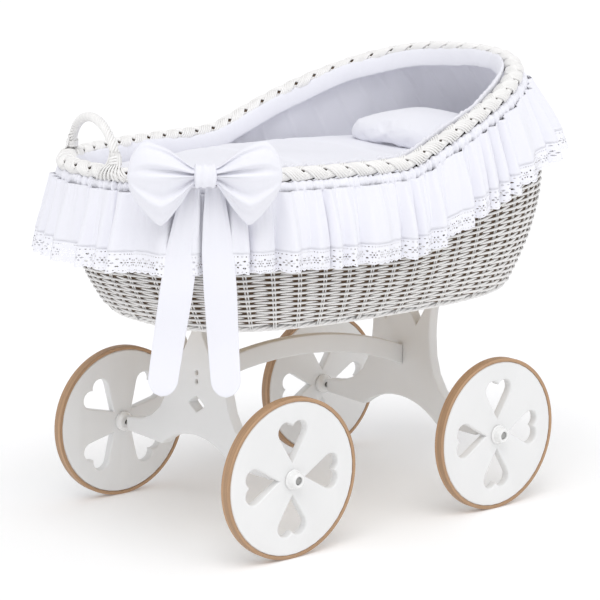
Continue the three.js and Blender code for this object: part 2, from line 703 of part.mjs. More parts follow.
// A hanging ring of cloth between two drops below the rim line.
function valance(high, low, levels) {
  return band(BASKET_SIDES, 2 * levels, (angle, step) => {
    const [level, side] = upAndDown(step, levels);
    const drop = lerp(low, high, level);
    const flare = FRILL_FLARE + FRILL_FOOT_FLARE * Math.max(0, -Math.cos(angle));
    const out = DRAPE_START + (flare * drop) / FRILL_DROP + side * FRILL_THICKNESS;
    return drapePoint(angle, drop, out);
  });
}

function casing() {
  return band(BASKET_SIDES, 6, (angle, step) => {
    const around = (step / 6) * TURN;
    const drop = CASING_TOP + (CASING_HEIGHT / 2) * (1 - Math.sin(around));
    return drapePoint(angle, drop, DRAPE_START + (CASING_THICKNESS / 2) * (1 + Math.cos(around)));
  });
}

// A group whose +X runs along the rim, +Y up and +Z outwards, where the bow is tied.
function bowPlace() {
  const angle = radians(BOW_ANGLE);
  const { normal } = outline(angle, RIM);
  const place = new THREE.Group();
  place.position.copy(rimPoint(angle, BOW_STANDOFF, 0)).setZ(0);
  const axes = [
    new THREE.Vector3(-normal.y, normal.x, 0),
    new THREE.Vector3(0, 0, 1),
    new THREE.Vector3(normal.x, normal.y, 0),
  ];
  place.setRotationFromMatrix(new THREE.Matrix4().makeBasis(...axes));
  return place;
}

function ball(width, height, thickness) {
  return new THREE.SphereGeometry(0.5, 14, 10).scale(width, height, thickness);
}

function tail() {
  const [start, middle, end] = [TAIL_TOP_WIDTH / 2, TAIL_WIDTH / 2, TAIL_END_WIDTH / 2];
  const shape = new THREE.Shape();
  shape.moveTo(-start, 0);
  shape.quadraticCurveTo(-middle, -TAIL_DROP * 0.25, -middle, -TAIL_DROP * 0.5);
  shape.lineTo(-end, -TAIL_DROP + TAIL_POINT);
  shape.quadraticCurveTo(-end, -TAIL_DROP, 0, -TAIL_DROP);
  shape.quadraticCurveTo(end, -TAIL_DROP, end, -TAIL_DROP + TAIL_POINT);
  shape.lineTo(middle, -TAIL_DROP * 0.5);
  shape.quadraticCurveTo(middle, -TAIL_DROP * 0.25, start, 0);
  return extrude(shape, TAIL_THICKNESS).translate(0, 0, -TAIL_THICKNESS / 2);
}

function addBow() {
  const place = bowPlace();
  bassinet.add(place);
  const reach = (KNOT_WIDTH + LOOP_LENGTH) / 2 + CLOTH_GAP / 2;
  const knot = add(place, "bow_knot", ball(KNOT_WIDTH, KNOT_HEIGHT, KNOT_THICKNESS), cotton());
  knot.position.set(BOW_SHIFT, KNOT_Z, 0);
  for (const [name, side] of [["left", -1], ["right", 1]]) {
    const loop = add(place, `bow_loop_${name}`, ball(LOOP_LENGTH, LOOP_HEIGHT, LOOP_THICKNESS), cotton());
    loop.position.set(BOW_SHIFT + side * reach, LOOP_Z, 0);
    const strip = add(place, `bow_tail_${name}`, tail(), cotton());
    const top = KNOT_Z - KNOT_HEIGHT / 2 - CLOTH_GAP;
    strip.position.set(BOW_SHIFT + TAIL_STARTS[name], top, TAIL_STANDOFF - BOW_STANDOFF);
    strip.rotation.set(radians(-TAIL_TILT), 0, radians(-TAIL_LEANS[name]));
  }
}

function addSoftGoods() {
  add(bassinet, "lining", lining(), cotton());
  add(bassinet, "mattress", mattress(), cotton());
  add(bassinet, "coverlet", coverlet(), cotton());
  add(bassinet, "pillow", pillow(), cotton());
  add(bassinet, "frill_casing", casing(), cotton());
  add(bassinet, "frill", valance(FRILL_TOP, LACE_TOP - GAP, 4), cotton());
  add(bassinet, "lace_trim", valance(LACE_TOP, FRILL_DROP, 2), lace());
  addBow();
}

addWheels();
addStand();
addBasket();
addSoftGoods();

// The origin is on the floor, under the middle of the whole object.
const bounds = new THREE.Box3().setFromObject(bassinet, true);
const middle = bounds.getCenter(new THREE.Vector3());
bassinet.position.set(-middle.x, -middle.y, -bounds.min.z);

export default bassinet;
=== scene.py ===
"""Bassinet on a stand: finished pieces, materials, floor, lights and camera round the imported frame."""

import bmesh
import bpy
import numpy as np
from bpy.props import FloatProperty, FloatVectorProperty, IntProperty, PointerProperty
from mathutils import Matrix, Vector


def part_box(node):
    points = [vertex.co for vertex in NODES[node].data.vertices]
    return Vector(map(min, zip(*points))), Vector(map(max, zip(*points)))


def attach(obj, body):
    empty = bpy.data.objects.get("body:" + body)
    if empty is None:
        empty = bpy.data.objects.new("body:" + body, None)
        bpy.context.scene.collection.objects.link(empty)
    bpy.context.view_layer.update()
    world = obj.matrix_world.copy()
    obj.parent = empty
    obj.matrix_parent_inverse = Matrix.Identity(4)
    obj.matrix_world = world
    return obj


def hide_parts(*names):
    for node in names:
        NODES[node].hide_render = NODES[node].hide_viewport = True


bl_info = {
    "name": "Bassinet on a stand",
    "version": (1, 0, 0),
    "blender": (4, 5, 0),
    "location": "View3D > Sidebar > Bassinet",
    "description": "Builds the woven basket, its cloth, the wheeled stand and the studio",
    "category": "Object",
}

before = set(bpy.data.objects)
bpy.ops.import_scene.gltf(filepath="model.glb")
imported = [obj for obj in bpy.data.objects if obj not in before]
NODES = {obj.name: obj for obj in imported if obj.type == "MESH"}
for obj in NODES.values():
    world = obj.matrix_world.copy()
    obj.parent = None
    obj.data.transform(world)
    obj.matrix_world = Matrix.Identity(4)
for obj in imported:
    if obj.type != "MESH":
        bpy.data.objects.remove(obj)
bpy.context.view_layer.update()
MM = 0.001
TURN = 2 * np.pi
ROOT = "stand_and_basket"
WHEEL_PLACES = ("near_foot", "near_head", "far_foot", "far_head")


def corners(node):
    """Lowest and highest corner of a node, as arrays in metres."""
    low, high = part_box(node)
    return np.array(low), np.array(high)


# ---- Lines of the basket -------------------------------------------------------------------------
BRAID_LOW, BRAID_HIGH = corners("rim_braid")
BRAID_ACROSS, BRAID_UP = 17 * MM, 14.5 * MM  # half the braid's width and height
BORDER_LOW, BORDER_HIGH = corners("foot_border")
BORDER_ACROSS = 7.5 * MM
FOOT_SHARE = 465 / 862  # of the rim's length that lies on the foot side of its widest place
RIM_FOOT_X, RIM_HEAD_X = BRAID_LOW[0] + BRAID_ACROSS, BRAID_HIGH[0] - BRAID_ACROSS
MIDDLE_X = RIM_FOOT_X + FOOT_SHARE * (RIM_HEAD_X - RIM_FOOT_X)
RISE_START_X = MIDDLE_X + 5 * MM
RIM_LOW_Z = BRAID_LOW[2] + BRAID_UP
RIM_RISE = BRAID_HIGH[2] - BRAID_UP - RIM_LOW_Z
BASE_Z = BORDER_LOW[2]
BORDER_TOP_Z = BORDER_HIGH[2]
RIM = {
    "foot": MIDDLE_X - RIM_FOOT_X,
    "head": RIM_HEAD_X - MIDDLE_X,
    "half": BRAID_HIGH[1] - BRAID_ACROSS,
    "power": 2.62,
    "taper": 0.12,
}
BASE = {
    "foot": MIDDLE_X - BORDER_LOW[0] - BORDER_ACROSS,
    "head": BORDER_HIGH[0] - BORDER_ACROSS - MIDDLE_X,
    "half": BORDER_HIGH[1] - BORDER_ACROSS,
    "power": 2.67,
    "taper": 0.0,
}
WALL_FULLNESS, END_FULLNESS = 1.77, 1.28
HEAD_BULGE, FOOT_BULGE, SIDE_BULGE = 87 * MM, 15 * MM, 25 * MM


def signed_power(value, power):
    return np.sign(value) * np.abs(value) ** power


def outline(angle, ring):
    """Superellipse: x = |cos|^(2/power) times the foot or head length, y = |sin|^(2/power) times the half
    width, which narrows with the taper towards the foot. Also gives the outward normal in plan."""
    c, s = np.cos(angle), np.sin(angle)
    length = np.where(c < 0, ring["foot"], ring["head"])
    along = signed_power(c, 2 / ring["power"])
    x = MIDDLE_X + along * length
    narrowing = 1 - ring["taper"] * np.maximum(0, -along)
    y = ring["half"] * narrowing * signed_power(s, 2 / ring["power"])
    steep = 2 - 2 / ring["power"]
    nx, ny = signed_power(c, steep) / length, signed_power(s, steep) / ring["half"]
    size = np.hypot(nx, ny)
    return x, y, nx / size, ny / size


def rim_height(x):
    """Level to the middle, then rising to the head as the distance past the middle to the power 0.89."""
    past = x - RISE_START_X
    along = (past + np.hypot(past, 22 * MM)) / 2
    return RIM_LOW_Z + RIM_RISE * (along / (RIM_HEAD_X - RISE_START_X)) ** 0.89


def rim_point(angle, out, up):
    """The rim's middle line, moved outwards in plan by out and upwards by up."""
    x, y, nx, ny = outline(angle, RIM)
    return np.stack(np.broadcast_arrays(x + nx * out, y + ny * out, rim_height(x) + up), -1)


def swell(share, fullness):
    return (1 - (1 - share) ** fullness) ** (1 / fullness)


def wall_point(angle, share, out):
    """From the base outline (share 0) to the rim's (share 1): the plan swells quickly at first, and
    bulges at the ends and sides by the sine of the share; the height goes evenly with the share."""
    x0, y0, _, _ = outline(angle, BASE)
    x1, y1, nx, ny = outline(angle, RIM)
    share = np.clip(share, 0, 1)
    belly, c = np.sin(np.pi * share), np.cos(angle)
    ends = HEAD_BULGE * np.maximum(0, c) ** 2 - FOOT_BULGE * np.maximum(0, -c) ** 2
    x = x0 + (x1 - x0) * swell(share, END_FULLNESS) + ends * belly + nx * out
    y = y0 + (y1 - y0) * swell(share, WALL_FULLNESS) + np.sin(angle) * SIDE_BULGE * belly + ny * out
    z = BASE_Z + (rim_height(x1) - BASE_Z) * share
    return np.stack(np.broadcast_arrays(x, y, z), -1)


def wall_at(angle, z, out):
    """The wall at a level z."""
    top = rim_height(outline(angle, RIM)[0])
    return wall_point(angle, (z - BASE_Z) / (top - BASE_Z), out)


def drape_point(angle, drop, out):
    """A drop below the rim's middle line, outside both the rim line and the bulging wall."""
    x, y, nx, ny = outline(angle, RIM)
    wall = wall_at(angle, rim_height(x) - drop, 0)
    beyond = np.maximum(0, (wall[..., 0] - x) * nx + (wall[..., 1] - y) * ny)
    return rim_point(angle, beyond + out, -drop)


FINE_ANGLES = np.linspace(0, TURN, 40001)
_fine = rim_point(FINE_ANGLES, 0, 0)
_steps = np.linalg.norm(np.diff(_fine, axis=0), axis=1)
FINE_LENGTHS = np.concatenate([[0], np.cumsum(_steps)])
RIM_LENGTH = FINE_LENGTHS[-1]


def even_angles(count):
    """Angles that divide the rim line into equal lengths."""
    return angle_at(np.arange(count) * RIM_LENGTH / count)


def angle_at(length):
    """The angle at a length along the rim line, with whole turns kept."""
    turns = np.floor(length / RIM_LENGTH)
    return np.interp(length - turns * RIM_LENGTH, FINE_LENGTHS, FINE_ANGLES) + turns * TURN


def length_at(angle):
    return np.interp(angle % TURN, FINE_ANGLES, FINE_LENGTHS)


def ripple(t, seed, waves=5, low=1, high=9):
    """A smooth seeded wander: sines of whole frequencies with random phases and sizes, from about -1 to
    1, that closes over t from 0 to 1."""
    random = np.random.default_rng(seed)
    total = np.zeros_like(np.asarray(t, float))
    for _ in range(waves):
        total = total + random.uniform(0.4, 1) * np.sin(
            TURN * (random.integers(low, high + 1) * t + random.random())
        )
    return total / (0.7 * waves**0.5 * 1.4)


def smooth_step(value):
    value = np.clip(value, 0, 1)
    return value * value * (3 - 2 * value)


# ---- Surfaces ------------------------------------------------------------------------------------
def unit(vectors):
    return vectors / np.maximum(np.linalg.norm(vectors, axis=-1, keepdims=True), 1e-12)


def surface(points, wrap_u=False, wrap_v=False, u=None, v=None, shift=0.0, flip=False):
    """Quads over a grid of points. u and v give the lengths along the two directions for the UV map."""
    nu, nv = points.shape[:2]
    if u is None:
        u = np.arange(nu + 1) * MM
    if v is None:
        v = np.arange(nv + 1) * MM
    a, b = np.meshgrid(
        np.arange(nu if wrap_u else nu - 1), np.arange(nv if wrap_v else nv - 1), indexing="ij"
    )
    order = [(0, 0), (0, 1), (1, 1), (1, 0)] if flip else [(0, 0), (1, 0), (1, 1), (0, 1)]
    faces = np.stack([((a + i) % nu) * nv + (b + j) % nv for i, j in order], -1)
    uv = np.stack([np.stack([u[a + i], v[b + j] + shift], -1) for i, j in order], -2)
    return points.reshape(-1, 3), [(faces.reshape(-1, 4), uv.reshape(-1, 2))]


def lid(part, ring, flip):
    """Adds one face over a ring of a part's vertices."""
    ring = np.asarray(ring)[::-1] if flip else np.asarray(ring)
    points, faces = part
    flat = points[ring][:, :2]
    return points, [*faces, (ring[None, :], flat)]


def lengths_along(path, closed):
    ends = np.roll(path, -1, 0) - path if closed else np.diff(path, axis=0)
    total = np.concatenate([[0], np.cumsum(np.linalg.norm(ends, axis=1))])
    return total if closed else np.append(total, total[-1] + MM)


def tube(path, out, across, depth, sides=6, closed=False, shift=0.0):
    """A rod along a path: its section is an ellipse with the radius depth towards out, and across at
    right angles to out and to the path."""
    ahead = np.roll(path, -1, 0) - np.roll(path, 1, 0) if closed else np.gradient(path, axis=0)
    ahead = unit(ahead)
    side = unit(np.cross(ahead, np.broadcast_to(out, path.shape)))
    up = np.cross(side, ahead)
    around = np.arange(sides) * TURN / sides
    across = np.broadcast_to(across, len(path))[:, None, None]
    depth = np.broadcast_to(depth, len(path))[:, None, None]
    points = path[:, None] + across * np.cos(around)[None, :, None] * side[:, None]
    points = points + depth * np.sin(around)[None, :, None] * up[:, None]
    width = TURN * float(np.mean(depth)) / sides
    part = surface(
        points, closed, True, lengths_along(path, closed), np.arange(sides + 1) * width, shift
    )
    if closed:
        return part
    last = (len(path) - 1) * sides
    part = lid(part, np.arange(sides), True)
    return lid(part, last + np.arange(sides), False)


def object_from(name, parts):
    """Joins parts into one mesh object with a UV map."""
    start, points, corners_, totals, uvs = 0, [], [], [], []
    for part_points, faces in parts:
        points.append(part_points)
        for face, uv in faces:
            corners_.append((face + start).ravel())
            totals.append(np.full(len(face), face.shape[1]))
            uvs.append(uv)
        start += len(part_points)
    points = np.concatenate(points).astype(np.float32)
    corners_ = np.concatenate(corners_).astype(np.int32)
    totals = np.concatenate(totals).astype(np.int32)
    mesh = bpy.data.meshes.new(name)
    mesh.vertices.add(len(points))
    mesh.vertices.foreach_set("co", points.ravel())
    mesh.loops.add(len(corners_))
    mesh.loops.foreach_set("vertex_index", corners_)
    mesh.polygons.add(len(totals))
    mesh.polygons.foreach_set("loop_start", np.concatenate([[0], np.cumsum(totals)[:-1]]))
    layer = mesh.uv_layers.new(name="UVMap")
    mesh.update(calc_edges=True)
    layer.data.foreach_set("uv", np.concatenate(uvs).astype(np.float32).ravel())
    mesh.polygons.foreach_set("use_smooth", np.ones(len(totals), bool))
    mesh.validate()
    made = bpy.data.objects.new(name, mesh)
    bpy.context.scene.collection.objects.link(made)
    return made


def settle(piece, finish, body=ROOT, stands_for=()):
    """Gives a piece its material and its body, and hides the nodes that it stands for."""
    piece.data.materials.clear()
    piece.data.materials.append(material_for(finish))
    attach(piece, body)
    if stands_for:
        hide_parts(*stands_for)
    return piece


def add_modifier(piece, kind, name, **settings):
    modifier = piece.modifiers.new(name, kind)
    for key, value in settings.items():
        setattr(modifier, key, value)
    return modifier


# ---- Shader node groups --------------------------------------------------------------------------
class Wiring:
    """Short calls for placing nodes in a tree."""

    def __init__(self, tree):
        self.tree = tree

    def node(self, kind, inputs=(), **settings):
        made = self.tree.nodes.new(kind)
        for key, value in settings.items():
            setattr(made, key, value)
        for key, value in dict(inputs).items():
            self.feed(made.inputs[key], value)
        return made

    def feed(self, socket, value):
        if isinstance(value, bpy.types.NodeSocket):
            self.tree.links.new(value, socket)
        else:
            socket.default_value = value

    def math(self, operation, a, b=0.0, c=0.0):
        made = self.node("ShaderNodeMath", operation=operation)
        for socket, value in zip(made.inputs, (a, b, c)):
            self.feed(socket, value)
        return made.outputs[0]

    def noise(self, vector, scale, detail=2.0, roughness=0.5):
        made = self.node(
            "ShaderNodeTexNoise",
            {"Vector": vector, "Scale": scale, "Detail": detail, "Roughness": roughness},
        )
        return made.outputs["Fac"]

    def blend(self, share, a, b):
        made = self.node("ShaderNodeMix", data_type="RGBA")
        self.feed(made.inputs[0], share)
        self.feed(made.inputs[6], a)
        self.feed(made.inputs[7], b)
        return made.outputs[2]

    def stretch(self, vector, scale):
        return self.node("ShaderNodeMapping", {"Vector": vector, "Scale": scale}).outputs[0]

    def ramp(self, value, low, high, to_low=0.0, to_high=1.0):
        made = self.node(
            "ShaderNodeMapRange",
            {
                "Value": value,
                "From Min": low,
                "From Max": high,
                "To Min": to_low,
                "To Max": to_high,
            },
        )
        return made.outputs[0]


def new_group(name, inputs, outputs):
    """A shader node group with named sockets; inputs and outputs are (name, type, default) tuples."""
    group = bpy.data.node_groups.new(name, "ShaderNodeTree")
    for label, kind, default in inputs:
        socket = group.interface.new_socket(label, in_out="INPUT", socket_type="NodeSocket" + kind)
        if default is not None:
            socket.default_value = default
    for label, kind in outputs:
        group.interface.new_socket(label, in_out="OUTPUT", socket_type="NodeSocket" + kind)
    wiring = Wiring(group)
    start, end = wiring.node("NodeGroupInput"), wiring.node("NodeGroupOutput")
    return group, wiring, start.outputs, end.inputs


SURFACE_OUT = [("Color", "Color"), ("Roughness", "Float"), ("Height", "Float")]


def brushed_paint_group():
    """Sprayed paint: faint orange peel, a slow drift between two near whites, and dust that dulls it."""
    group, w, given, out = new_group(
        "brushed_paint",
        [
            ("Vector", "Vector", None),
            ("Light", "Color", (0.8, 0.8, 0.79, 1)),
            ("Shade", "Color", (0.72, 0.71, 0.69, 1)),
            ("Roughness", "Float", 0.4),
            ("Peel Scale", "Float", 420.0),
        ],
        SURFACE_OUT,
    )
    drift = w.noise(given["Vector"], 7.0, 4.0)
    peel = w.noise(given["Vector"], given["Peel Scale"], 2.0)
    fibres = w.noise(w.stretch(given["Vector"], (30.0, 30.0, 220.0)), 2.0, 3.0)
    w.feed(
        out["Color"], w.blend(w.ramp(drift, 0.35, 0.7), given["Light"], given["Shade"])
    )
    dull = w.math("MULTIPLY_ADD", w.noise(given["Vector"], 45.0, 3.0), 0.16, given["Roughness"])
    w.feed(out["Roughness"], w.math("SUBTRACT", dull, 0.08))
    w.feed(out["Height"], w.math("MULTIPLY_ADD", fibres, 0.4, w.math("MULTIPLY", peel, 0.6)))
    return group


def wood_grain_group():
    """Bent wood: long streaks along the first UV direction, fine pores, and a second, darker ply."""
    group, w, given, out = new_group(
        "wood_grain",
        [
            ("Vector", "Vector", None),
            ("Light", "Color", (0.6, 0.36, 0.19, 1)),
            ("Dark", "Color", (0.4, 0.21, 0.1, 1)),
            ("Pore", "Color", (0.25, 0.12, 0.05, 1)),
            ("Roughness", "Float", 0.5),
        ],
        SURFACE_OUT,
    )
    streaks = w.noise(w.stretch(given["Vector"], (9.0, 420.0, 1.0)), 1.0, 5.0, 0.6)
    bands = w.noise(w.stretch(given["Vector"], (2.5, 150.0, 1.0)), 1.0, 3.0, 0.6)
    pores = w.noise(w.stretch(given["Vector"], (60.0, 2400.0, 1.0)), 1.0, 2.0)
    base = w.blend(w.ramp(bands, 0.36, 0.64), given["Light"], given["Dark"])
    base = w.blend(w.ramp(streaks, 0.45, 0.75, 0.0, 0.55), base, given["Dark"])
    w.feed(out["Color"], w.blend(w.ramp(pores, 0.6, 0.72, 0.0, 0.6), base, given["Pore"]))
    w.feed(out["Roughness"], w.math("MULTIPLY_ADD", streaks, 0.2, given["Roughness"]))
    w.feed(out["Height"], w.math("SUBTRACT", w.math("MULTIPLY", streaks, 0.5), w.ramp(pores, 0.55, 0.7)))
    return group


def painted_rod_group():
    """Painted willow: streaks along the rod, thin places where brown shows, and small pits."""
    group, w, given, out = new_group(
        "painted_rod",
        [
            ("Vector", "Vector", None),
            ("Paint", "Color", (0.84, 0.83, 0.81, 1)),
            ("Shade", "Color", (0.7, 0.67, 0.62, 1)),
            ("Bark", "Color", (0.22, 0.12, 0.06, 1)),
            ("Bare", "Float", 0.2),
        ],
        SURFACE_OUT,
    )
    streaks = w.noise(w.stretch(given["Vector"], (14.0, 900.0, 1.0)), 1.0, 4.0, 0.6)
    rods = w.noise(w.stretch(given["Vector"], (3.0, 31.0, 1.0)), 1.0, 2.0)
    chips = w.noise(w.stretch(given["Vector"], (160.0, 700.0, 1.0)), 1.0, 3.0, 0.6)
    base = w.blend(w.ramp(rods, 0.4, 0.68), given["Paint"], given["Shade"])
    base = w.blend(w.ramp(streaks, 0.5, 0.8, 0.0, 0.5), base, given["Shade"])
    bare = w.math("MULTIPLY", w.ramp(chips, 0.66, 0.74), given["Bare"])
    w.feed(out["Color"], w.blend(bare, base, given["Bark"]))
    w.feed(out["Roughness"], w.ramp(streaks, 0.3, 0.7, 0.38, 0.6))
    w.feed(out["Height"], w.math("MULTIPLY_ADD", chips, 0.3, streaks))
    return group


def cotton_weave_group():
    """Plain weave: warp and weft sine ridges crossing, slubs along the threads and a faint crumple."""
    group, w, given, out = new_group(
        "cotton_weave",
        [
            ("Vector", "Vector", None),
            ("Cloth", "Color", (0.82, 0.82, 0.89, 1)),
            ("Shadow Thread", "Color", (0.74, 0.74, 0.82, 1)),
            ("Thread", "Float", 0.0005),
            ("Crumple", "Float", 0.25),
            ("Roughness", "Float", 0.8),
        ],
        SURFACE_OUT,
    )
    parts = w.node("ShaderNodeSeparateXYZ", {"Vector": given["Vector"]}).outputs
    pace = w.math("DIVIDE", TURN, given["Thread"])
    ridges = [w.math("SINE", w.math("MULTIPLY", parts[i], pace)) for i in range(3)]
    weave = w.math("MULTIPLY", w.math("ADD", ridges[0], 0.0), w.math("ADD", ridges[1], ridges[2]))
    slubs = w.noise(w.stretch(given["Vector"], (300.0, 1500.0, 300.0)), 1.0, 2.0)
    crumple = w.noise(given["Vector"], 24.0, 4.0, 0.55)
    tone = w.math("MULTIPLY_ADD", weave, 0.12, w.math("MULTIPLY_ADD", slubs, 0.5, 0.1))
    w.feed(out["Color"], w.blend(w.ramp(tone, 0.15, 0.7), given["Cloth"], given["Shadow Thread"]))
    w.feed(out["Roughness"], w.math("MULTIPLY_ADD", slubs, 0.12, given["Roughness"]))
    fine = w.math("MULTIPLY_ADD", slubs, 0.12, w.math("MULTIPLY", weave, 0.05))
    w.feed(out["Height"], w.math("MULTIPLY_ADD", crumple, given["Crumple"], fine))
    return group


def eyelet_lace_group():
    """Embroidered edging on UV lengths: flowers of six petals round an eye at each repeat, a row of pinholes
    above and below, and raised stitches round each hole. Holes puts out 0 in a hole and 1 on cloth."""
    group, w, given, out = new_group(
        "eyelet_lace",
        [
            ("Vector", "Vector", None),
            ("Repeat", "Float", 0.0165),
            ("Middle", "Float", 0.019),
            ("Cloth", "Color", (0.86, 0.86, 0.92, 1)),
            ("Stitch", "Color", (0.93, 0.93, 0.97, 1)),
        ],
        [("Color", "Color"), ("Holes", "Float"), ("Height", "Float")],
    )
    parts = w.node("ShaderNodeSeparateXYZ", {"Vector": given["Vector"]}).outputs

    def row(repeat, centre, offset):
        """Coordinates from the middle of the nearest repeat, in metres."""
        cell = w.math("FRACT", w.math("ADD", w.math("DIVIDE", parts[0], repeat), offset))
        across = w.math("MULTIPLY", w.math("SUBTRACT", cell, 0.5), repeat)
        return across, w.math("SUBTRACT", parts[1], centre)

    def length(a, b):
        return w.math("SQRT", w.math("ADD", w.math("MULTIPLY", a, a), w.math("MULTIPLY", b, b)))

    def hole(distance, radius):
        return w.ramp(distance, radius * 0.85, radius * 1.15)

    a, b = row(given["Repeat"], given["Middle"], 0.0)
    reach = length(a, b)
    petals = w.math("COSINE", w.math("MULTIPLY", w.math("ARCTAN2", b, a), 6.0))
    ring = w.math("ABSOLUTE", w.math("SUBTRACT", reach, 0.0043))
    petal = w.math("SUBTRACT", ring, w.math("MULTIPLY", w.math("SUBTRACT", petals, 0.1), 0.0017))
    holes = w.math("MULTIPLY", w.ramp(petal, -0.0002, 0.0002), hole(reach, 0.0013))
    a, b = row(given["Repeat"], given["Middle"], 0.5)
    holes = w.math("MULTIPLY", holes, hole(length(a, w.math("SUBTRACT", b, 0.006)), 0.0016))
    holes = w.math("MULTIPLY", holes, hole(length(a, w.math("ADD", b, 0.006)), 0.0014))
    half = w.math("MULTIPLY", given["Repeat"], 0.25)
    for centre in (0.0055, 0.0315):
        a, b = row(half, centre, 0.0)
        holes = w.math("MULTIPLY", holes, hole(length(a, b), 0.0008))
    stitches = w.noise(given["Vector"], 900.0, 2.0)
    w.feed(out["Color"], w.blend(stitches, given["Cloth"], given["Stitch"]))
    w.feed(out["Holes"], holes)
    w.feed(out["Height"], w.math("MULTIPLY_ADD", stitches, 0.5, holes))
    return group


GROUP_MAKERS = {
    "brushed_paint": brushed_paint_group,
    "wood_grain": wood_grain_group,
    "painted_rod": painted_rod_group,
    "cotton_weave": cotton_weave_group,
    "eyelet_lace": eyelet_lace_group,
}


def material_for(finish):
    """The material of that name, made the first time that it is asked for."""
    found = bpy.data.materials.get(finish)
    return found or FINISHES[finish](finish)


def new_material(name, group, coordinates, group_inputs, bump, bump_distance, **shader):
    """A Principled material whose colour, roughness and bump height come from one node group."""
    material = bpy.data.materials.new(name)
    material.use_nodes = True
    tree = material.node_tree
    tree.nodes.clear()
    w = Wiring(tree)
    tree_group = bpy.data.node_groups.get(group) or GROUP_MAKERS[group]()
    source = w.node("ShaderNodeTexCoord").outputs[coordinates]
    placed = w.node("ShaderNodeGroup", node_tree=tree_group)
    w.feed(placed.inputs["Vector"], source)
    for key, value in group_inputs.items():
        w.feed(placed.inputs[key], value)
    bsdf = w.node("ShaderNodeBsdfPrincipled")
    w.feed(bsdf.inputs["Base Color"], placed.outputs["Color"])
    if "Roughness" in placed.outputs:
        w.feed(bsdf.inputs["Roughness"], placed.outputs["Roughness"])
    if "Holes" in placed.outputs:
        w.feed(bsdf.inputs["Alpha"], placed.outputs["Holes"])
    relief = w.node("ShaderNodeBump", {"Strength": bump, "Distance": bump_distance})
    w.feed(relief.inputs["Height"], placed.outputs["Height"])
    w.feed(bsdf.inputs["Normal"], relief.outputs[0])
    for key, value in shader.items():
        bsdf.inputs[key.replace("_", " ")].default_value = value
    w.node("ShaderNodeOutputMaterial", {"Surface": bsdf.outputs[0]})
    return material


def tone(color):
    return (*color, 1.0)


def darker(color, share):
    return tone([c * share for c in color])


def paint(name):
    set_ = bpy.context.scene.bassinet_finishes
    gloss = name == "hub_paint"
    colour = set_.hub_color if gloss else set_.paint_color
    inputs = {
        "Light": tone(colour),
        "Shade": darker(colour, 0.965),
        "Roughness": 0.2 if gloss else 0.42,
    }
    return new_material(
        name, "brushed_paint", "Object", inputs, 0.12, 0.0004, Coat_Weight=0.5 if gloss else 0.12
    )


def wood(name):
    set_ = bpy.context.scene.bassinet_finishes
    colour = set_.tyre_color if name == "tyre_wood" else set_.dowel_color
    inputs = {
        "Light": tone(colour),
        "Dark": darker(colour, 0.68),
        "Pore": darker(colour, 0.4),
    }
    coordinates = "UV" if name == "tyre_wood" else "Object"
    return new_material(name, "wood_grain", coordinates, inputs, 0.35, 0.0003, Coat_Weight=0.1)


def rods(name):
    set_ = bpy.context.scene.bassinet_finishes
    # The gap-shade willow is dark brown all over: painted shade for the sheet behind the weave and the core
    # under the braid.
    painted_gap = name == "gap_shade_willow"
    colour = set_.bark_and_gap_shade_color if painted_gap else set_.willow_color
    inputs = {
        "Paint": tone(colour),
        "Shade": darker(colour, 0.8 if painted_gap else 0.93),
        "Bark": tone(set_.bark_and_gap_shade_color),
        "Bare": 0.55 if name == "willow" else 0.35,
    }
    return new_material(name, "painted_rod", "UV", inputs, 0.4, 0.0004, Coat_Weight=0.08)


def cotton(name):
    set_ = bpy.context.scene.bassinet_finishes
    inputs = {
        "Cloth": tone(set_.cloth_color),
        "Shadow Thread": darker(set_.cloth_color, 0.965),
        "Thread": set_.thread_pitch,
        "Crumple": {"frill_cotton": 0.5, "bedding_cotton": 1.0, "bow_cotton": 0.35}[name],
    }
    material = new_material(
        name, "cotton_weave", "Object", inputs, 0.35, 0.0016, Sheen_Weight=0.25, Sheen_Roughness=0.5
    )
    return material


def lace(name):
    set_ = bpy.context.scene.bassinet_finishes
    inputs = {"Cloth": tone(set_.cloth_color), "Stitch": tone(set_.lace_color)}
    return new_material(name, "eyelet_lace", "UV", inputs, 0.5, 0.0005, Roughness=0.8)


def zinc(name):
    inputs = {
        "Light": (0.42, 0.42, 0.41, 1),
        "Shade": (0.34, 0.34, 0.33, 1),
        "Roughness": 0.32,
        "Peel Scale": 900.0,
    }
    return new_material(name, "brushed_paint", "Object", inputs, 0.2, 0.0002, Metallic=1.0)


FINISHES = {
    "stand_paint": paint,
    "hub_paint": paint,
    "tyre_wood": wood,
    "dowel_wood": wood,
    "willow": rods,
    "braid_willow": rods,
    "gap_shade_willow": rods,
    "frill_cotton": cotton,
    "bedding_cotton": cotton,
    "bow_cotton": cotton,
    "edging_lace": lace,
    "screw_zinc": zinc,
}


# ---- Sizes and colours that a user may change ----------------------------------------------------
def size(name, text, value, low=0.0, high=2.0):
    return FloatProperty(
        name=name, description=text, default=value, min=low, max=high, unit="LENGTH", precision=4
    )


def colour(name, text, value):
    return FloatVectorProperty(
        name=name, description=text, default=value, subtype="COLOR", size=3, min=0, max=1
    )


class BassinetStand(bpy.types.PropertyGroup):
    board_edge: size("Board edge", "Rounding of the boards' edges", 3.2 * MM)
    tyre_edge: size("Tyre edge", "Rounding of the wooden tyre's edges", 1.4 * MM)
    turning_steps: IntProperty(
        name="Turning steps", description="Steps round a wheel or hub", default=96, min=16, max=256
    )


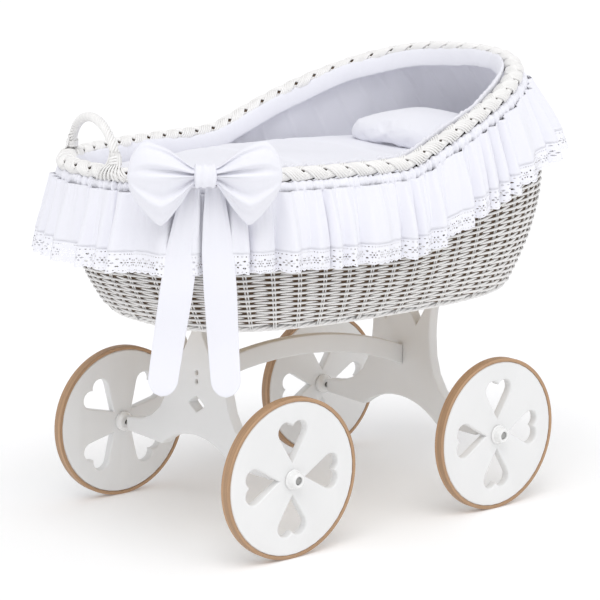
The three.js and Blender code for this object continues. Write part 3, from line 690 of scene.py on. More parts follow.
class BassinetBasket(bpy.types.PropertyGroup):
    stakes: IntProperty(
        name="Stakes", description="Upright pairs round the basket, an even number", default=46
    )
    row_pitch: size("Row pitch", "Height of one woven row at the low side", 4.6 * MM)
    weaver_depth: size("Weaver depth", "How far a weaver swings from the wall's middle", 3.3 * MM)
    stake_radius: size("Stake radius", "Radius of each upright rod", 1.35 * MM)
    braid_repeat: size("Braid repeat", "Length of the rim over which a strand returns", 121 * MM)
    braid_rod: size("Braid rod", "Radius of the rods in the rim braid", 1.95 * MM)
    handle_twist: size("Handle twist", "Length of one turn of the handle's rods", 50 * MM)


class BassinetCloth(bpy.types.PropertyGroup):
    pleat_pitch: size("Pleat pitch", "Usual distance between two pleats", 41 * MM)
    pleat_depth: size("Pleat depth", "How deep the pleats are at the hem", 12.5 * MM)
    scallop: size("Scallop", "Length of one scallop of the lace", 16.5 * MM)
    pressure: FloatProperty(
        name="Filling pressure", description="Pressure in the stuffed pieces", default=3.0
    )
    swell_cap: size("Swell cap", "Furthest that a stuffed point may move", 9 * MM)


class BassinetFinishes(bpy.types.PropertyGroup):
    paint_color: colour("Paint", "Boards and wheels", (0.845, 0.845, 0.84))
    hub_color: colour("Hub paint", "Glossy hub caps", (0.88, 0.88, 0.87))
    tyre_color: colour("Tyre wood", "Bent ash round the wheels", (0.55, 0.34, 0.195))
    dowel_color: colour("Dowel wood", "Birch dowels and board", (0.66, 0.5, 0.32))
    willow_color: colour("Willow paint", "Painted rods", (0.93, 0.92, 0.905))
    # Also the colour of the dark sheet behind the weave and of the braid's core, which paint the shade in
    # the gaps; on the rods it is bare willow where the paint is thin.
    bark_and_gap_shade_color: colour("Bark", "Bare willow between the rods", (0.12, 0.07, 0.035))
    cloth_color: colour("Cloth", "Cotton of the frill, bow and bedding", (0.88, 0.88, 0.935))
    lace_color: colour("Lace", "Stitches of the edging", (0.93, 0.93, 0.97))
    thread_pitch: size("Thread pitch", "Distance between the threads", 0.55 * MM)


class BassinetStudio(bpy.types.PropertyGroup):
    camera_place: FloatVectorProperty(
        name="Camera place",
        description="Where the camera stands",
        default=(-2.6137, -3.128, 1.2132),
        subtype="TRANSLATION",
        size=3,
    )
    azimuth: FloatProperty(name="Azimuth", description="Degrees round the object", default=-39.76)
    tilt: FloatProperty(name="Tilt", description="Degrees below the horizon", default=11.591)
    roll: FloatProperty(name="Roll", description="Degrees about the line of sight", default=0.541)
    lens: FloatProperty(name="Lens", description="Focal length in millimetres", default=137.71)
    floor_color: colour("Floor", "Plain pale floor", (0.93, 0.93, 0.93))
    sky: FloatProperty(name="Sky", description="Strength of the even light", default=0.68)
    key: FloatProperty(name="Key", description="Strength of the soft key light", default=1.15)
    glow: FloatProperty(name="Glow", description="Light that the white floor adds", default=0.1)


SETTINGS = {
    "bassinet_stand": BassinetStand,
    "bassinet_basket": BassinetBasket,
    "bassinet_cloth": BassinetCloth,
    "bassinet_finishes": BassinetFinishes,
    "bassinet_studio": BassinetStudio,
}


# ---- Stand ---------------------------------------------------------------------------------------
def rims_of(node, axis):
    """The closed outlines of a board's highest flat face across an axis, each as an array of points."""
    shape = bmesh.new()
    shape.from_mesh(NODES[node].data)
    bmesh.ops.remove_doubles(shape, verts=shape.verts, dist=2e-5)
    level = max(v.co[axis] for v in shape.verts)
    flat = {f for f in shape.faces if all(abs(v.co[axis] - level) < 1e-5 for v in f.verts)}
    edges = [e for e in shape.edges if sum(f in flat for f in e.link_faces) == 1]
    after = {}
    for edge in edges:
        face = next(f for f in edge.link_faces if f in flat)
        loop = next(x for x in face.loops if x.edge == edge)
        after[loop.vert] = loop.link_loop_next.vert
    outlines = []
    while after:
        here = next(iter(after))
        ring = []
        while here in after:
            ring.append(here.co.copy())
            here = after.pop(here)
        outlines.append(np.array(ring))
    shape.free()
    return outlines


def eased_board(node, finish, edge, axis, body=ROOT):
    """A board with rounded edges: its outlines as a flat filled curve, extruded to its thickness less the
    rounding, which a bevel adds back, then turned into a mesh across the given axis."""
    low, high = corners(node)
    data = bpy.data.curves.new(node + "_outline", "CURVE")
    data.dimensions, data.fill_mode = "2D", "BOTH"
    first, second = [(1, 2), (2, 0), (0, 1)][axis]
    for ring in rims_of(node, axis):
        span = np.linalg.norm(np.diff(ring, axis=0, append=ring[:1]), axis=1)
        ring = ring[span > 0.25 * MM]
        spline = data.splines.new("POLY")
        spline.points.add(len(ring) - 1)
        flat = np.stack([ring[:, first], ring[:, second], 0 * ring[:, 0], 1 + 0 * ring[:, 0]], -1)
        spline.points.foreach_set("co", flat.astype(np.float32).ravel())
        spline.use_cyclic_u = True
    data.extrude = (high[axis] - low[axis]) / 2 - edge
    data.bevel_depth, data.bevel_resolution, data.offset = edge, 3, -edge
    curve = bpy.data.objects.new(node + "_outline", data)
    mesh = bpy.data.meshes.new_from_object(curve)
    bpy.data.objects.remove(curve)
    points = np.empty(len(mesh.vertices) * 3, np.float32)
    mesh.vertices.foreach_get("co", points)
    points = points.reshape(-1, 3)
    placed = np.empty_like(points)
    placed[:, first], placed[:, second] = points[:, 0], points[:, 1]
    placed[:, axis] = points[:, 2] + (high[axis] + low[axis]) / 2
    mesh.vertices.foreach_set("co", placed.ravel())
    mesh.name = node + "_eased"
    shape = bmesh.new()
    shape.from_mesh(mesh)
    bmesh.ops.remove_doubles(shape, verts=shape.verts, dist=1e-6)
    bmesh.ops.recalc_face_normals(shape, faces=shape.faces)
    shape.to_mesh(mesh)
    shape.free()
    mesh.polygons.foreach_set("use_smooth", np.ones(len(mesh.polygons), bool))
    mesh.set_sharp_from_angle(angle=np.radians(32))
    board = bpy.data.objects.new(node + "_eased", mesh)
    bpy.context.scene.collection.objects.link(board)
    return settle(board, finish, body, (node,))


def turned_part(profile, centre, outward, steps, closed=True):
    """A profile of (radius, distance outwards) pairs turned round a wheel's axis, which lies along Y."""
    profile = np.asarray(profile, float)
    angle = np.arange(steps) * TURN / steps
    radius, along = profile[:, 0], profile[:, 1] * outward
    points = np.stack(
        [
            centre[0] + np.cos(angle)[:, None] * radius,
            np.broadcast_to(centre[1] + along, (steps, len(profile))),
            centre[2] + np.sin(angle)[:, None] * radius,
        ],
        -1,
    )
    edge = np.concatenate([[0], np.cumsum(np.linalg.norm(np.diff(profile, axis=0), axis=1))])
    edge = np.append(edge, edge[-1] + MM)
    u = np.arange(steps + 1) * TURN / steps * float(radius.max())
    return surface(points, True, closed, u, edge, flip=outward < 0)


def rounded(corners_, radius, steps=4):
    """Cuts each corner of a closed outline with a quadratic curve that starts a radius away from it."""
    corners_ = np.asarray(corners_, float)
    before, after = np.roll(corners_, 1, 0), np.roll(corners_, -1, 0)
    room = np.minimum(
        np.linalg.norm(before - corners_, axis=1), np.linalg.norm(after - corners_, axis=1)
    )
    reach = np.minimum(radius, room * 0.45)[:, None]
    first = corners_ + unit(before - corners_) * reach
    last = corners_ + unit(after - corners_) * reach
    t = np.linspace(0, 1, steps + 1)[None, :, None]
    curve = first[:, None] * (1 - t) ** 2 + 2 * corners_[:, None] * t * (1 - t) + last[:, None] * t**2
    return curve.reshape(-1, 2)


class OBJECT_OT_bassinet_boards(bpy.types.Operator):
    """Round the edges of the end panels and the stretcher, and finish the small stand parts"""

    bl_idname = "object.bassinet_boards"
    bl_label = "Boards and fixings"

    def execute(self, context):
        edge = context.scene.bassinet_stand.board_edge
        for node, axis in (("foot_panel", 0), ("head_panel", 0), ("stretcher", 1)):
            eased_board(node, "stand_paint", edge, axis)
        kept = {
            "stretcher_dowel": "dowel_wood",
            "floor_board": "dowel_wood",
            "basket_screw": "screw_zinc",
            "axle_bolt": "screw_zinc",
            "axle_insert": "screw_zinc",
        }
        for node, piece in NODES.items():
            for start, finish in kept.items():
                if node.startswith(start):
                    for slot in piece.material_slots:
                        slot.material = material_for(finish)
        return {"FINISHED"}


class OBJECT_OT_bassinet_wheels(bpy.types.Operator):
    """Make the four wheels: board with hearts, bent wooden tyre, hub cap with its rings, and collar"""

    bl_idname = "object.bassinet_wheels"
    bl_label = "Wheels"

    def execute(self, context):
        sizes = context.scene.bassinet_stand
        steps = sizes.turning_steps
        for place in WHEEL_PLACES:
            body = "wheel_" + place
            eased_board("wheel_disc_" + place, "stand_paint", sizes.board_edge, 1, body)
            low, high = corners("wheel_tyre_" + place)
            centre, outward = (low + high) / 2, np.sign(low[1])
            half = (high[1] - low[1]) / 2
            outer = (high[2] - low[2]) / 2
            inner = corners("wheel_disc_" + place)[1][2] - centre[2] + 0.3 * MM
            band = rounded(
                [(inner, -half), (outer, -half), (outer, half), (inner, half)], sizes.tyre_edge
            )
            tyre = object_from(
                "tyre_" + place, [turned_part(band, centre, outward, 2 * steps)]
            )
            settle(tyre, "tyre_wood", body, ("wheel_tyre_" + place,))
            low, high = corners("hub_cap_" + place)
            base, end = (high[2] - low[2]) / 2, 12.5 * MM
            depth = high[1] - low[1]
            seat = centre.copy()
            seat[1] = high[1] if outward < 0 else low[1]
            well, floor = 7 * MM, 8.5 * MM
            cap = [(4.6 * MM, 0.1 * MM), (base - 1 * MM, 0), (base, 1.2 * MM), (base, 3 * MM)]
            cap += [(base - 1.6 * MM, 4.4 * MM), (base - 3 * MM, 4.9 * MM)]
            cap += [(end + 0.9 * MM, depth - 3 * MM), (end - 0.4 * MM, depth - 0.8 * MM)]
            cap += [(end - 2.2 * MM, depth), (well + 1.4 * MM, depth - 0.3 * MM)]
            cap += [(well, depth - 1.6 * MM), (well, floor), (4.6 * MM, floor)]
            cap = rounded(cap, 1.1 * MM, 3)
            piece = object_from("hub_cap_turned_" + place, [turned_part(cap, seat, outward, steps)])
            settle(piece, "hub_paint", body, ("hub_cap_" + place,))
            low, high = corners("hub_collar_" + place)
            depth, base = high[1] - low[1], (high[2] - low[2]) / 2
            seat[1] = high[1] if outward > 0 else low[1]
            collar = [(4.6 * MM, 0), (base, 0), (base, -depth * 0.55), (14 * MM, -depth)]
            collar = rounded(collar + [(4.6 * MM, -depth)], 1.8 * MM)[::-1]
            part = turned_part(collar, seat, outward, steps)
            piece = object_from("hub_collar_turned_" + place, [part])
            settle(piece, "hub_paint", body, ("hub_collar_" + place,))
        return {"FINISHED"}


# ---- Woven basket --------------------------------------------------------------------------------
def outwards(angle):
    _, _, nx, ny = outline(angle, RIM)
    return np.stack([nx, ny, np.zeros_like(nx)], -1)


def row_levels(angle, row, pitch):
    """Height of a woven row: rows lie level, and the pitch opens by 0.29 where the rim has risen."""
    rise = (rim_height(outline(angle, RIM)[0]) - RIM_LOW_Z) / RIM_RISE
    return BORDER_TOP_Z + 2.4 * MM + row * pitch * (1 + 0.29 * rise), pitch * (1 + 0.29 * rise)


def weaver_row(row, basket, angle, place):
    """A rod that passes before one stake pair and behind the next: its depth is the cosine of pi times the
    stake count, its sign turning with each row; it ends where the rim comes down to it."""
    level, height = row_levels(angle, row, basket.row_pitch)
    top = rim_height(outline(angle, RIM)[0]) - BRAID_UP + 1.5 * MM
    inside = level < top
    if not inside.any():
        return None
    closed = bool(inside.all())
    if not closed:
        start = int(np.argmax(~inside))
        order = np.roll(np.arange(len(angle)), -start)
        order = order[inside[order]]
        if len(order) < 12:
            return None
        angle, level, height, place = angle[order], level[order], height[order], place[order]
    swing = np.cos(np.pi * (place + row)) * basket.weaver_depth
    swing = swing + 0.35 * MM * ripple(place / basket.stakes, 100 + row, 4, 7, 40)
    level = level + 0.45 * MM * ripple(place / basket.stakes, 300 + row, 4, 5, 30)
    path = wall_at(angle, level, swing)
    front = np.clip(swing / basket.weaver_depth, 0, 1)
    across = height * (0.4 + 0.07 * front)
    return tube(path, outwards(angle), across, 1.6 * MM, 6, closed, shift=row * 0.37)


class OBJECT_OT_bassinet_wall(bpy.types.Operator):
    """Weave the wall: rows of rods over and under paired stakes, with a dark brown sheet behind them as
    painted shade in the gaps
    """

    bl_idname = "object.bassinet_wall"
    bl_label = "Woven wall"

    def execute(self, context):
        basket = context.scene.bassinet_basket
        count, per_stake = basket.stakes, 8
        place = np.arange(count * per_stake) / per_stake
        angle = angle_at(place / count * RIM_LENGTH)
        tallest = BRAID_HIGH[2] - BORDER_TOP_Z
        rows = [
            weaver_row(row, basket, angle, place) for row in range(int(tallest / basket.row_pitch))
        ]
        rows = [row for row in rows if row is not None]
        half = len(rows) // 2
        lower = object_from("weave_lower", rows[:half])
        settle(lower, "willow", stands_for=("wicker_wall",))
        settle(object_from("weave_upper", rows[half:]), "willow")

        stakes = []
        share = np.linspace(0.02, 1, 26)
        for stake in range(count):
            middle = stake / count * RIM_LENGTH
            for side in (-1, 1):
                at = angle_at(np.full_like(share, middle + side * 2.5 * MM))
                top = rim_height(outline(at, RIM)[0]) - BRAID_UP
                path = wall_at(at, BASE_Z + (top - BASE_Z) * share, 0.2 * MM)
                radius = basket.stake_radius
                stakes.append(tube(path, outwards(at), radius, radius, 6, shift=stake * 0.41))
        settle(object_from("stakes", stakes), "willow")

        # A dark brown sheet just behind the weave: painted shade, which shows through the gaps between the
        # rods.
        around = even_angles(360)
        level = np.linspace(0.0, 1, 24)
        top = rim_height(outline(around, RIM)[0]) - BRAID_UP + 2 * MM
        z = BORDER_TOP_Z + 0.5 * MM + (top[:, None] - BORDER_TOP_Z) * level
        faces = [wall_at(around[:, None], z, out) for out in (-0.7 * MM, -4.4 * MM)]
        loop = np.concatenate([faces[0], faces[1][:, ::-1]], axis=1)
        u = np.arange(361) * RIM_LENGTH / 360
        layer = surface(loop, True, True, u, np.arange(loop.shape[1] + 1) * 17 * MM)
        settle(object_from("wall_shade_sheet", [layer]), "gap_shade_willow")
        return {"FINISHED"}


class OBJECT_OT_bassinet_border(bpy.types.Operator):
    """Twist the foot border round the base: five rods in one rope"""

    bl_idname = "object.bassinet_border"
    bl_label = "Foot border"

    def execute(self, context):
        count = 1200
        angle = even_angles(count)
        middle = (BASE_Z + BORDER_TOP_Z) / 2
        rope_rods, turns = 5, 24
        rods_ = []
        for rod in range(rope_rods):
            twist = np.arange(count) / count * TURN * turns + rod * TURN / rope_rods
            path = wall_point(angle, np.zeros(count), 4.0 * MM * np.cos(twist))
            path[:, 2] = middle + 3.4 * MM * np.sin(twist)
            rods_.append(tube(path, outwards(angle), 2.7 * MM, 2.7 * MM, 7, True, rod * 0.7))
        settle(object_from("border_rope", rods_), "willow", stands_for=("foot_border",))
        return {"FINISHED"}


def braid_surface(length, turn, lift):
    """The rim's saddle: an arc across the rim line, from the outer side over the top to the inner side,
    by the turn from the top; lift raises a point off it."""
    angle = angle_at(length)
    across = (BRAID_ACROSS - 4.2 * MM + lift) * np.sin(turn)
    up = (BRAID_UP - 4.2 * MM + lift) * np.cos(turn) - 0.6 * MM
    x, y, nx, ny = outline(angle, RIM)
    return np.stack([x + nx * across, y + ny * across, rim_height(x) + up], -1)


class OBJECT_OT_bassinet_braid(bpy.types.Operator):
    """Plait the rim: three strands of six rods that cross over and under along the saddle. A strand
    swings across it by arcsin(bend sin(turn)), nearly a straight zigzag, and lifts by sin(2 turn)"""

    bl_idname = "object.bassinet_braid"
    bl_label = "Rim braid"

    def execute(self, context):
        basket = context.scene.bassinet_basket
        repeats = round(RIM_LENGTH / basket.braid_repeat)
        count = repeats * 36
        length = np.arange(count) * RIM_LENGTH / count
        phase = TURN * repeats * np.arange(count) / count
        radius, rods_per_strand = basket.braid_rod, 6
        middle_rod, spacing = (rods_per_strand - 1) / 2, 2.04  # spacing in radii
        reach, arc, bend = np.radians(122), 14 * MM, 0.94
        rods_ = []
        for strand in range(3):
            turn = phase + strand * TURN / 3
            across = arc * reach * np.arcsin(bend * np.sin(turn)) / np.arcsin(bend)
            flat = np.stack([length, across], -1)
            climb = (np.roll(across, -1) - np.roll(across, 1)) / (2 * RIM_LENGTH / count)
            slope = unit(np.stack([np.ones(count), climb], -1))
            side = np.stack([-slope[:, 1], slope[:, 0]], -1)
            lift = 2.5 * MM * np.sin(2 * turn)
            for rod in range(rods_per_strand):
                shift = (rod - middle_rod) * radius * spacing
                place = flat + side * shift
                crown = 0.5 * MM * (1 - ((rod - middle_rod) / middle_rod) ** 2)
                path = braid_surface(place[:, 0] % RIM_LENGTH, place[:, 1] / arc, lift + crown)
                middle = rim_point(angle_at(place[:, 0] % RIM_LENGTH), 0, 0)
                out = unit(path - middle)
                grain = strand * rods_per_strand + rod * 0.9
                rods_.append(tube(path, out, radius, radius * 1.15, 8, True, grain))
        settle(object_from("braid", rods_), "braid_willow", stands_for=("rim_braid",))
        # A dark brown core under the braid's rods: painted shade, which shows through the gaps of the plait.
        angle = even_angles(300)
        painted_core = tube(rim_point(angle, 0, -1 * MM), (0, 0, 1), 9.5 * MM, 7.5 * MM, 12, True)
        settle(object_from("braid_shade_core", [painted_core]), "gap_shade_willow")
        return {"FINISHED"}


HANDLE_TOP_Z = corners("handle")[1][2]
HANDLE_ANGLES = np.radians([190.0, 143.0])
HANDLE_RADIUS = 8 * MM
HANDLE_RODS, HANDLE_ROD_OUT = 6, 5.3 * MM  # the rods, and how far each lies from the middle line


def handle_line(t):
    """Half an ellipse over two feet on the braid: along the chord by (1 - cos(pi t)) / 2, and up by
    sin(pi t)."""
    feet = rim_point(HANDLE_ANGLES, 0, BRAID_UP + 0.3 * MM)
    rise = HANDLE_TOP_Z - HANDLE_RADIUS - feet[0, 2]
    path = feet[0] + (feet[1] - feet[0]) * ((1 - np.cos(np.pi * t)) / 2)[:, None]
    path[:, 2] += rise * np.sin(np.pi * t)
    return path


def framed(path, reference):
    """Two directions at right angles to a path, the first as near to the reference as can be."""
    ahead = unit(np.gradient(path, axis=0))
    side = unit(np.cross(ahead, np.broadcast_to(reference, path.shape)))
    return np.cross(side, ahead), side


class OBJECT_OT_bassinet_handle(bpy.types.Operator):
    """Twist the handle's rods together, fan their ends over the braid and bind its feet"""

    bl_idname = "object.bassinet_handle"
    bl_label = "Handle"

    def execute(self, context):
        basket = context.scene.bassinet_basket
        t = np.linspace(0, 1, 260)
        line = handle_line(t)
        chord = unit(line[-1] - line[0])
        across = np.cross(chord, (0, 0, 1))
        first, second = framed(line, across)
        travelled = lengths_along(line, False)[:-1]
        rods_ = []
        for rod in range(HANDLE_RODS):
            twist = travelled / basket.handle_twist * TURN + rod * TURN / HANDLE_RODS
            path = line + HANDLE_ROD_OUT * (
                np.cos(twist)[:, None] * first + np.sin(twist)[:, None] * second
            )
            facing = unit(path - line)
            rods_.append(tube(path, facing, 2.35 * MM, 2.8 * MM, 8, shift=rod * 0.8))
        settle(object_from("handle_rods", rods_), "braid_willow", stands_for=("handle",))

        total = travelled[-1]
        for name, node, start, foot in (
            ("near", "handle_lashing_near", 0.0, 0),
            ("far", "handle_lashing_far", total - 14 * MM, 1),
        ):
            wraps, count = 3, 3 * 28
            along = start + np.linspace(1 * MM, 13 * MM, count)
            middle = np.stack([np.interp(along, travelled, line[:, i]) for i in range(3)], -1)
            a, b = framed(middle, across)
            twist = np.linspace(0, wraps * TURN, count)
            around = np.cos(twist)[:, None] * a + np.sin(twist)[:, None] * b
            bind = tube(middle + around * 9.6 * MM, around, 2.3 * MM, 1.2 * MM, 6)
            parts = [bind]
            centre = length_at(HANDLE_ANGLES[foot])
            for leaf in range(-3, 4):
                u = np.linspace(0, 1, 30)
                turn = np.radians(8 + 112 * smooth_step(u))
                spread = centre + leaf * (3.2 + 6.3 * u) * MM
                path = braid_surface(spread, turn, (6.3 - 1.2 * u) * MM)
                up = np.clip(1 - u / 0.3, 0, 1) ** 2
                path[:, 2] += 22 * MM * up
                parts.append(
                    tube(path, unit(path - rim_point(angle_at(spread), 0, 0)), 2.1 * MM, 1.7 * MM, 6,
                         shift=leaf * 0.9 + 5)
                )
            settle(object_from("handle_binding_" + name, parts), "braid_willow", stands_for=(node,))
        return {"FINISHED"}


# ---- Cloth ---------------------------------------------------------------------------------------
FRILL_DROP, LACE_DEPTH = 152 * MM, 35 * MM
LACE_DROP = FRILL_DROP - LACE_DEPTH
CASING_DROP, CASING_HEIGHT, CASING_DEPTH = 17.5 * MM, 12 * MM, 9 * MM
DRAPE_OUT = 8 * MM
GATHER = 1.45  # length of cloth taken up for each length of rim
LINING_OUT, LINING_DEPTH = -20 * MM, 270 * MM


def pleated(length, drop, cloth):
    """The hanging cloth at a length of rim and a drop: it flares outwards in proportion to the drop, and
    its folds are two cosines of a wandering phase that grow with the drop, while the tight gathers of
    the casing are a faster cosine that fades away from it."""
    t = length / RIM_LENGTH
    angle = angle_at(length)
    share = drop / FRILL_DROP
    count = round(RIM_LENGTH / cloth.pleat_pitch)
    phase = TURN * (count * t + 0.55 * ripple(t, 11, 6, 3, 22) + 0.05 * share * ripple(t, 12, 5, 8, 30))
    size_ = 0.78 + 0.4 * ripple(t, 13, 6, 6, 45)
    fold = np.cos(phase) + 0.38 * np.cos(2 * phase + 1.1 + 1.5 * ripple(t, 14, 5, 3, 20))
    fold = fold + 0.3 * ripple(t, 15, 8, 40, 110) * (1 - 0.5 * share)
    grow = smooth_step((share - 0.12) / 0.7) * 0.55 + 0.45
    gather = np.cos(TURN * (count * 4 * t + 0.8 * ripple(t, 16, 6, 5, 60)))
    depth = cloth.pleat_depth * size_ * fold * grow + 2.2 * MM * gather * (1 - share) ** 4
    flare = (20 + 14 * np.maximum(0, -np.cos(angle))) * MM * share
    sway = 5 * MM * np.sin(phase) * grow * size_
    return drape_point(angle_at(length + sway), drop, DRAPE_OUT + 5 * MM + flare + depth)


def hanging(name, cloth, drops, count, scallop=0.0):
    length = np.arange(count) / count * RIM_LENGTH
    drop = np.broadcast_to(drops, (count, len(drops))).copy()
    if scallop:
        lobes = round(RIM_LENGTH * GATHER / scallop)
        wave = np.abs(np.sin(np.pi * lobes * length / RIM_LENGTH))
        reach = (drop - drops[0]) / (drops[-1] - drops[0])
        drop += reach**3 * 3.2 * MM * (wave[:, None] ** 0.8 - 0.75)
    points = pleated(length[:, None], drop, cloth)
    u = np.arange(count + 1) / count * RIM_LENGTH * GATHER
    return object_from(name, [surface(points, True, False, u, drops - drops[0])])


class OBJECT_OT_bassinet_frill(bpy.types.Operator):
    """Hang the pleated frill, its ruched casing under the braid, the sewn band and the scalloped lace"""

    bl_idname = "object.bassinet_frill"
    bl_label = "Frill and lace"

    def execute(self, context):
        cloth = context.scene.bassinet_cloth
        drops = np.linspace(CASING_DROP + CASING_HEIGHT * 0.5, LACE_DROP + 1 * MM, 22)
        frill = hanging("frill_cloth", cloth, drops, 2000)
        add_modifier(frill, "SOLIDIFY", "cloth_thickness", thickness=0.6 * MM, offset=-1)
        settle(frill, "frill_cotton", stands_for=("frill",))
        seam = hanging(
            "frill_seam", cloth, LACE_DROP + np.array([-1.2, -0.8, 0.4, 1.5, 2.6, 3.0]) * MM, 2000
        )
        add_modifier(seam, "SOLIDIFY", "cloth_thickness", thickness=1.6 * MM, offset=1)
        settle(seam, "frill_cotton")
        drops = np.linspace(LACE_DROP, FRILL_DROP, 12)
        edging = hanging("lace_edging", cloth, drops, 2600, cloth.scallop)
        settle(edging, "edging_lace", stands_for=("lace_trim",))

        count, sides = 2600, 10
        length = np.arange(count) / count * RIM_LENGTH
        t = length / RIM_LENGTH
        around = np.arange(sides) * TURN / sides
        pucker = 1.3 * ripple(t, 21, 12, 90, 290)[:, None] + 0.5 * ripple(t, 22, 6, 20, 90)[:, None]
        wide = 1 + 0.16 * pucker
        drop = CASING_DROP + 1.5 * MM - CASING_HEIGHT * 0.8 * wide * np.sin(around)
        out = DRAPE_OUT + 1.5 * MM + CASING_DEPTH * 0.7 * wide * np.cos(around)
        points = drape_point(angle_at(length)[:, None], drop, out + 1.2 * MM * pucker)
        u = np.arange(count + 1) / count * RIM_LENGTH
        ruching = surface(points, True, True, u, np.arange(sides + 1) * 3.4 * MM, flip=False)
        ruching = object_from("frill_ruching", [ruching])
        settle(ruching, "frill_cotton", stands_for=("frill_casing",))
        return {"FINISHED"}


class OBJECT_OT_bassinet_lining(bpy.types.Operator):
    """Line the inside with creased cotton and a folded hem that stands loosely inside the rim"""

    bl_idname = "object.bassinet_lining"
    bl_label = "Lining"

    def execute(self, context):
        count, levels = 720, 44
        length = np.arange(count) / count * RIM_LENGTH
        t = (length / RIM_LENGTH)[:, None]
        angle = angle_at(length)[:, None]
        top = rim_height(outline(angle, RIM)[0]) - BRAID_UP - 1 * MM
        low = BORDER_TOP_Z + 1 * MM
        level = np.linspace(0, 1, levels)[None, :]
        crease = ripple(t + 0.03 * level, 31, 7, 9, 34) * smooth_step(level * 1.6)
        sharp = np.exp(-((ripple(t - 0.05 * level, 32, 7, 5, 26)) ** 2) * 60)
        slow = ripple(level + 0 * t, 33, 3, 1, 4)
        soft = 3.2 * MM * crease - 2.2 * MM * sharp * level + 1.5 * MM * slow
        points = wall_at(angle, low + (top - low) * level, LINING_OUT + 1.2 * MM + soft)
        v = level[0] * LINING_DEPTH
        inside = surface(points, True, False, np.arange(count + 1) / count * RIM_LENGTH, v, flip=True)
        inside = object_from("lining_cloth", [inside])
        add_modifier(inside, "SOLIDIFY", "cloth_thickness", thickness=1.5 * MM, offset=-1)
        settle(inside, "bedding_cotton", stands_for=("lining",))

        sides = 14
        around = np.arange(sides) * TURN / sides
        near = np.maximum(0, -np.sin(angle)) ** 0.5
        ruffle = ripple(t, 41, 9, 60, 210) + 0.6 * ripple(t, 42, 5, 14, 60)
        ruffle = ruffle * (0.2 + 0.8 * near)
        tall = (17 + 2.5 * ruffle - 4 * near) * MM
        centre = (-15 + 15 * near + 2 * ripple(t, 43, 5, 4, 18)) * MM
        thick = (3.4 + 0.8 * ruffle + 1.5 * near) * MM
        lean = -20 * MM - 5 * MM * near + 2 * MM * ripple(t, 44, 6, 6, 30)
        s, c = np.sin(around)[None, :], np.cos(around)[None, :]
        out = lean + thick * c + 4 * MM * s
        x, y, nx, ny = outline(angle, RIM)
        z = rim_height(x) + centre + tall * s
        points = np.stack(np.broadcast_arrays(x + nx * out, y + ny * out, z), -1)
        hem = surface(points, True, True, np.arange(count + 1) / count * RIM_LENGTH,
                      np.arange(sides + 1) * 5 * MM)
        hem = object_from("lining_hem", [hem])
        settle(hem, "bedding_cotton")
        return {"FINISHED"}


def stuffed(piece, voxel, cloth):
    """Blows a closed piece up like a filled case: an even voxel mesh, Cloth with pressure and no gravity
    over twenty frames, and each point's movement capped."""
    add_modifier(piece, "REMESH", "even_mesh", mode="VOXEL", voxel_size=voxel)
    bake(piece)
    while piece.data.uv_layers:
        piece.data.uv_layers.remove(piece.data.uv_layers[0])
    rest = coordinates(piece)
    sim = add_modifier(piece, "CLOTH", "filling")
    sim.settings.quality = 4
    sim.settings.mass = 0.25
    sim.settings.tension_stiffness = 12
    sim.settings.compression_stiffness = 12
    sim.settings.bending_stiffness = 0.3
    sim.settings.use_pressure = True
    sim.settings.uniform_pressure_force = cloth.pressure
    sim.settings.effector_weights.gravity = 0
    scene = bpy.context.scene
    for step in range(1, 21):
        scene.frame_set(step)
    moved = coordinates(piece, bpy.context.evaluated_depsgraph_get()) - rest
    piece.modifiers.clear()
    scene.frame_set(1)
    far = np.linalg.norm(moved, axis=1, keepdims=True)
    moved = moved * np.minimum(1, cloth.swell_cap / np.maximum(far, 1e-9))
    put_coordinates(piece, rest + moved)


def bake(piece):
    """Replaces a piece's mesh by its evaluated one and clears the modifiers."""
    graph = bpy.context.evaluated_depsgraph_get()
    mesh = bpy.data.meshes.new_from_object(piece.evaluated_get(graph), depsgraph=graph)
    piece.modifiers.clear()
    piece.data = mesh


def smoothed(piece):
    """Adds one subdivision to a stuffed piece, whose voxel mesh has no UV map."""
    add_modifier(piece, "SUBSURF", "smooth_case", levels=1, render_levels=1, uv_smooth="NONE")


def coordinates(piece, graph=None):
    mesh = piece.evaluated_get(graph).data if graph else piece.data
    found = np.empty(len(mesh.vertices) * 3, np.float32)
    mesh.vertices.foreach_get("co", found)
    return found.reshape(-1, 3).astype(float)


def put_coordinates(piece, points):
    piece.data.vertices.foreach_set("co", points.astype(np.float32).ravel())
    piece.data.polygons.foreach_set("use_smooth", np.ones(len(piece.data.polygons), bool))
    piece.data.update()


def cushion(name, profile, edge, middle, count=180):
    """A closed cushion: each (share, height) pair of the profile places the plan's outline at that share
    between its middle and its edge; the first and last pairs are the poles."""
    angle = np.arange(count) * TURN / count
    share = np.array([p[0] for p in profile])[None, :]
    height = np.array([p[1] for p in profile])[None, :]
    x, y = edge(angle[:, None], height)
    x = middle[0] + (x - middle[0]) * share
    y = middle[1] + (y - middle[1]) * share
    points = np.stack(np.broadcast_arrays(x, y, height), -1)
    part = surface(points, True, False, np.arange(count + 1) * 5 * MM,
                   np.arange(len(profile) + 1) * 10 * MM)
    part = lid(part, np.arange(count) * len(profile), True)
    part = lid(part, np.arange(count) * len(profile) + len(profile) - 1, False)
    return object_from(name, [part])


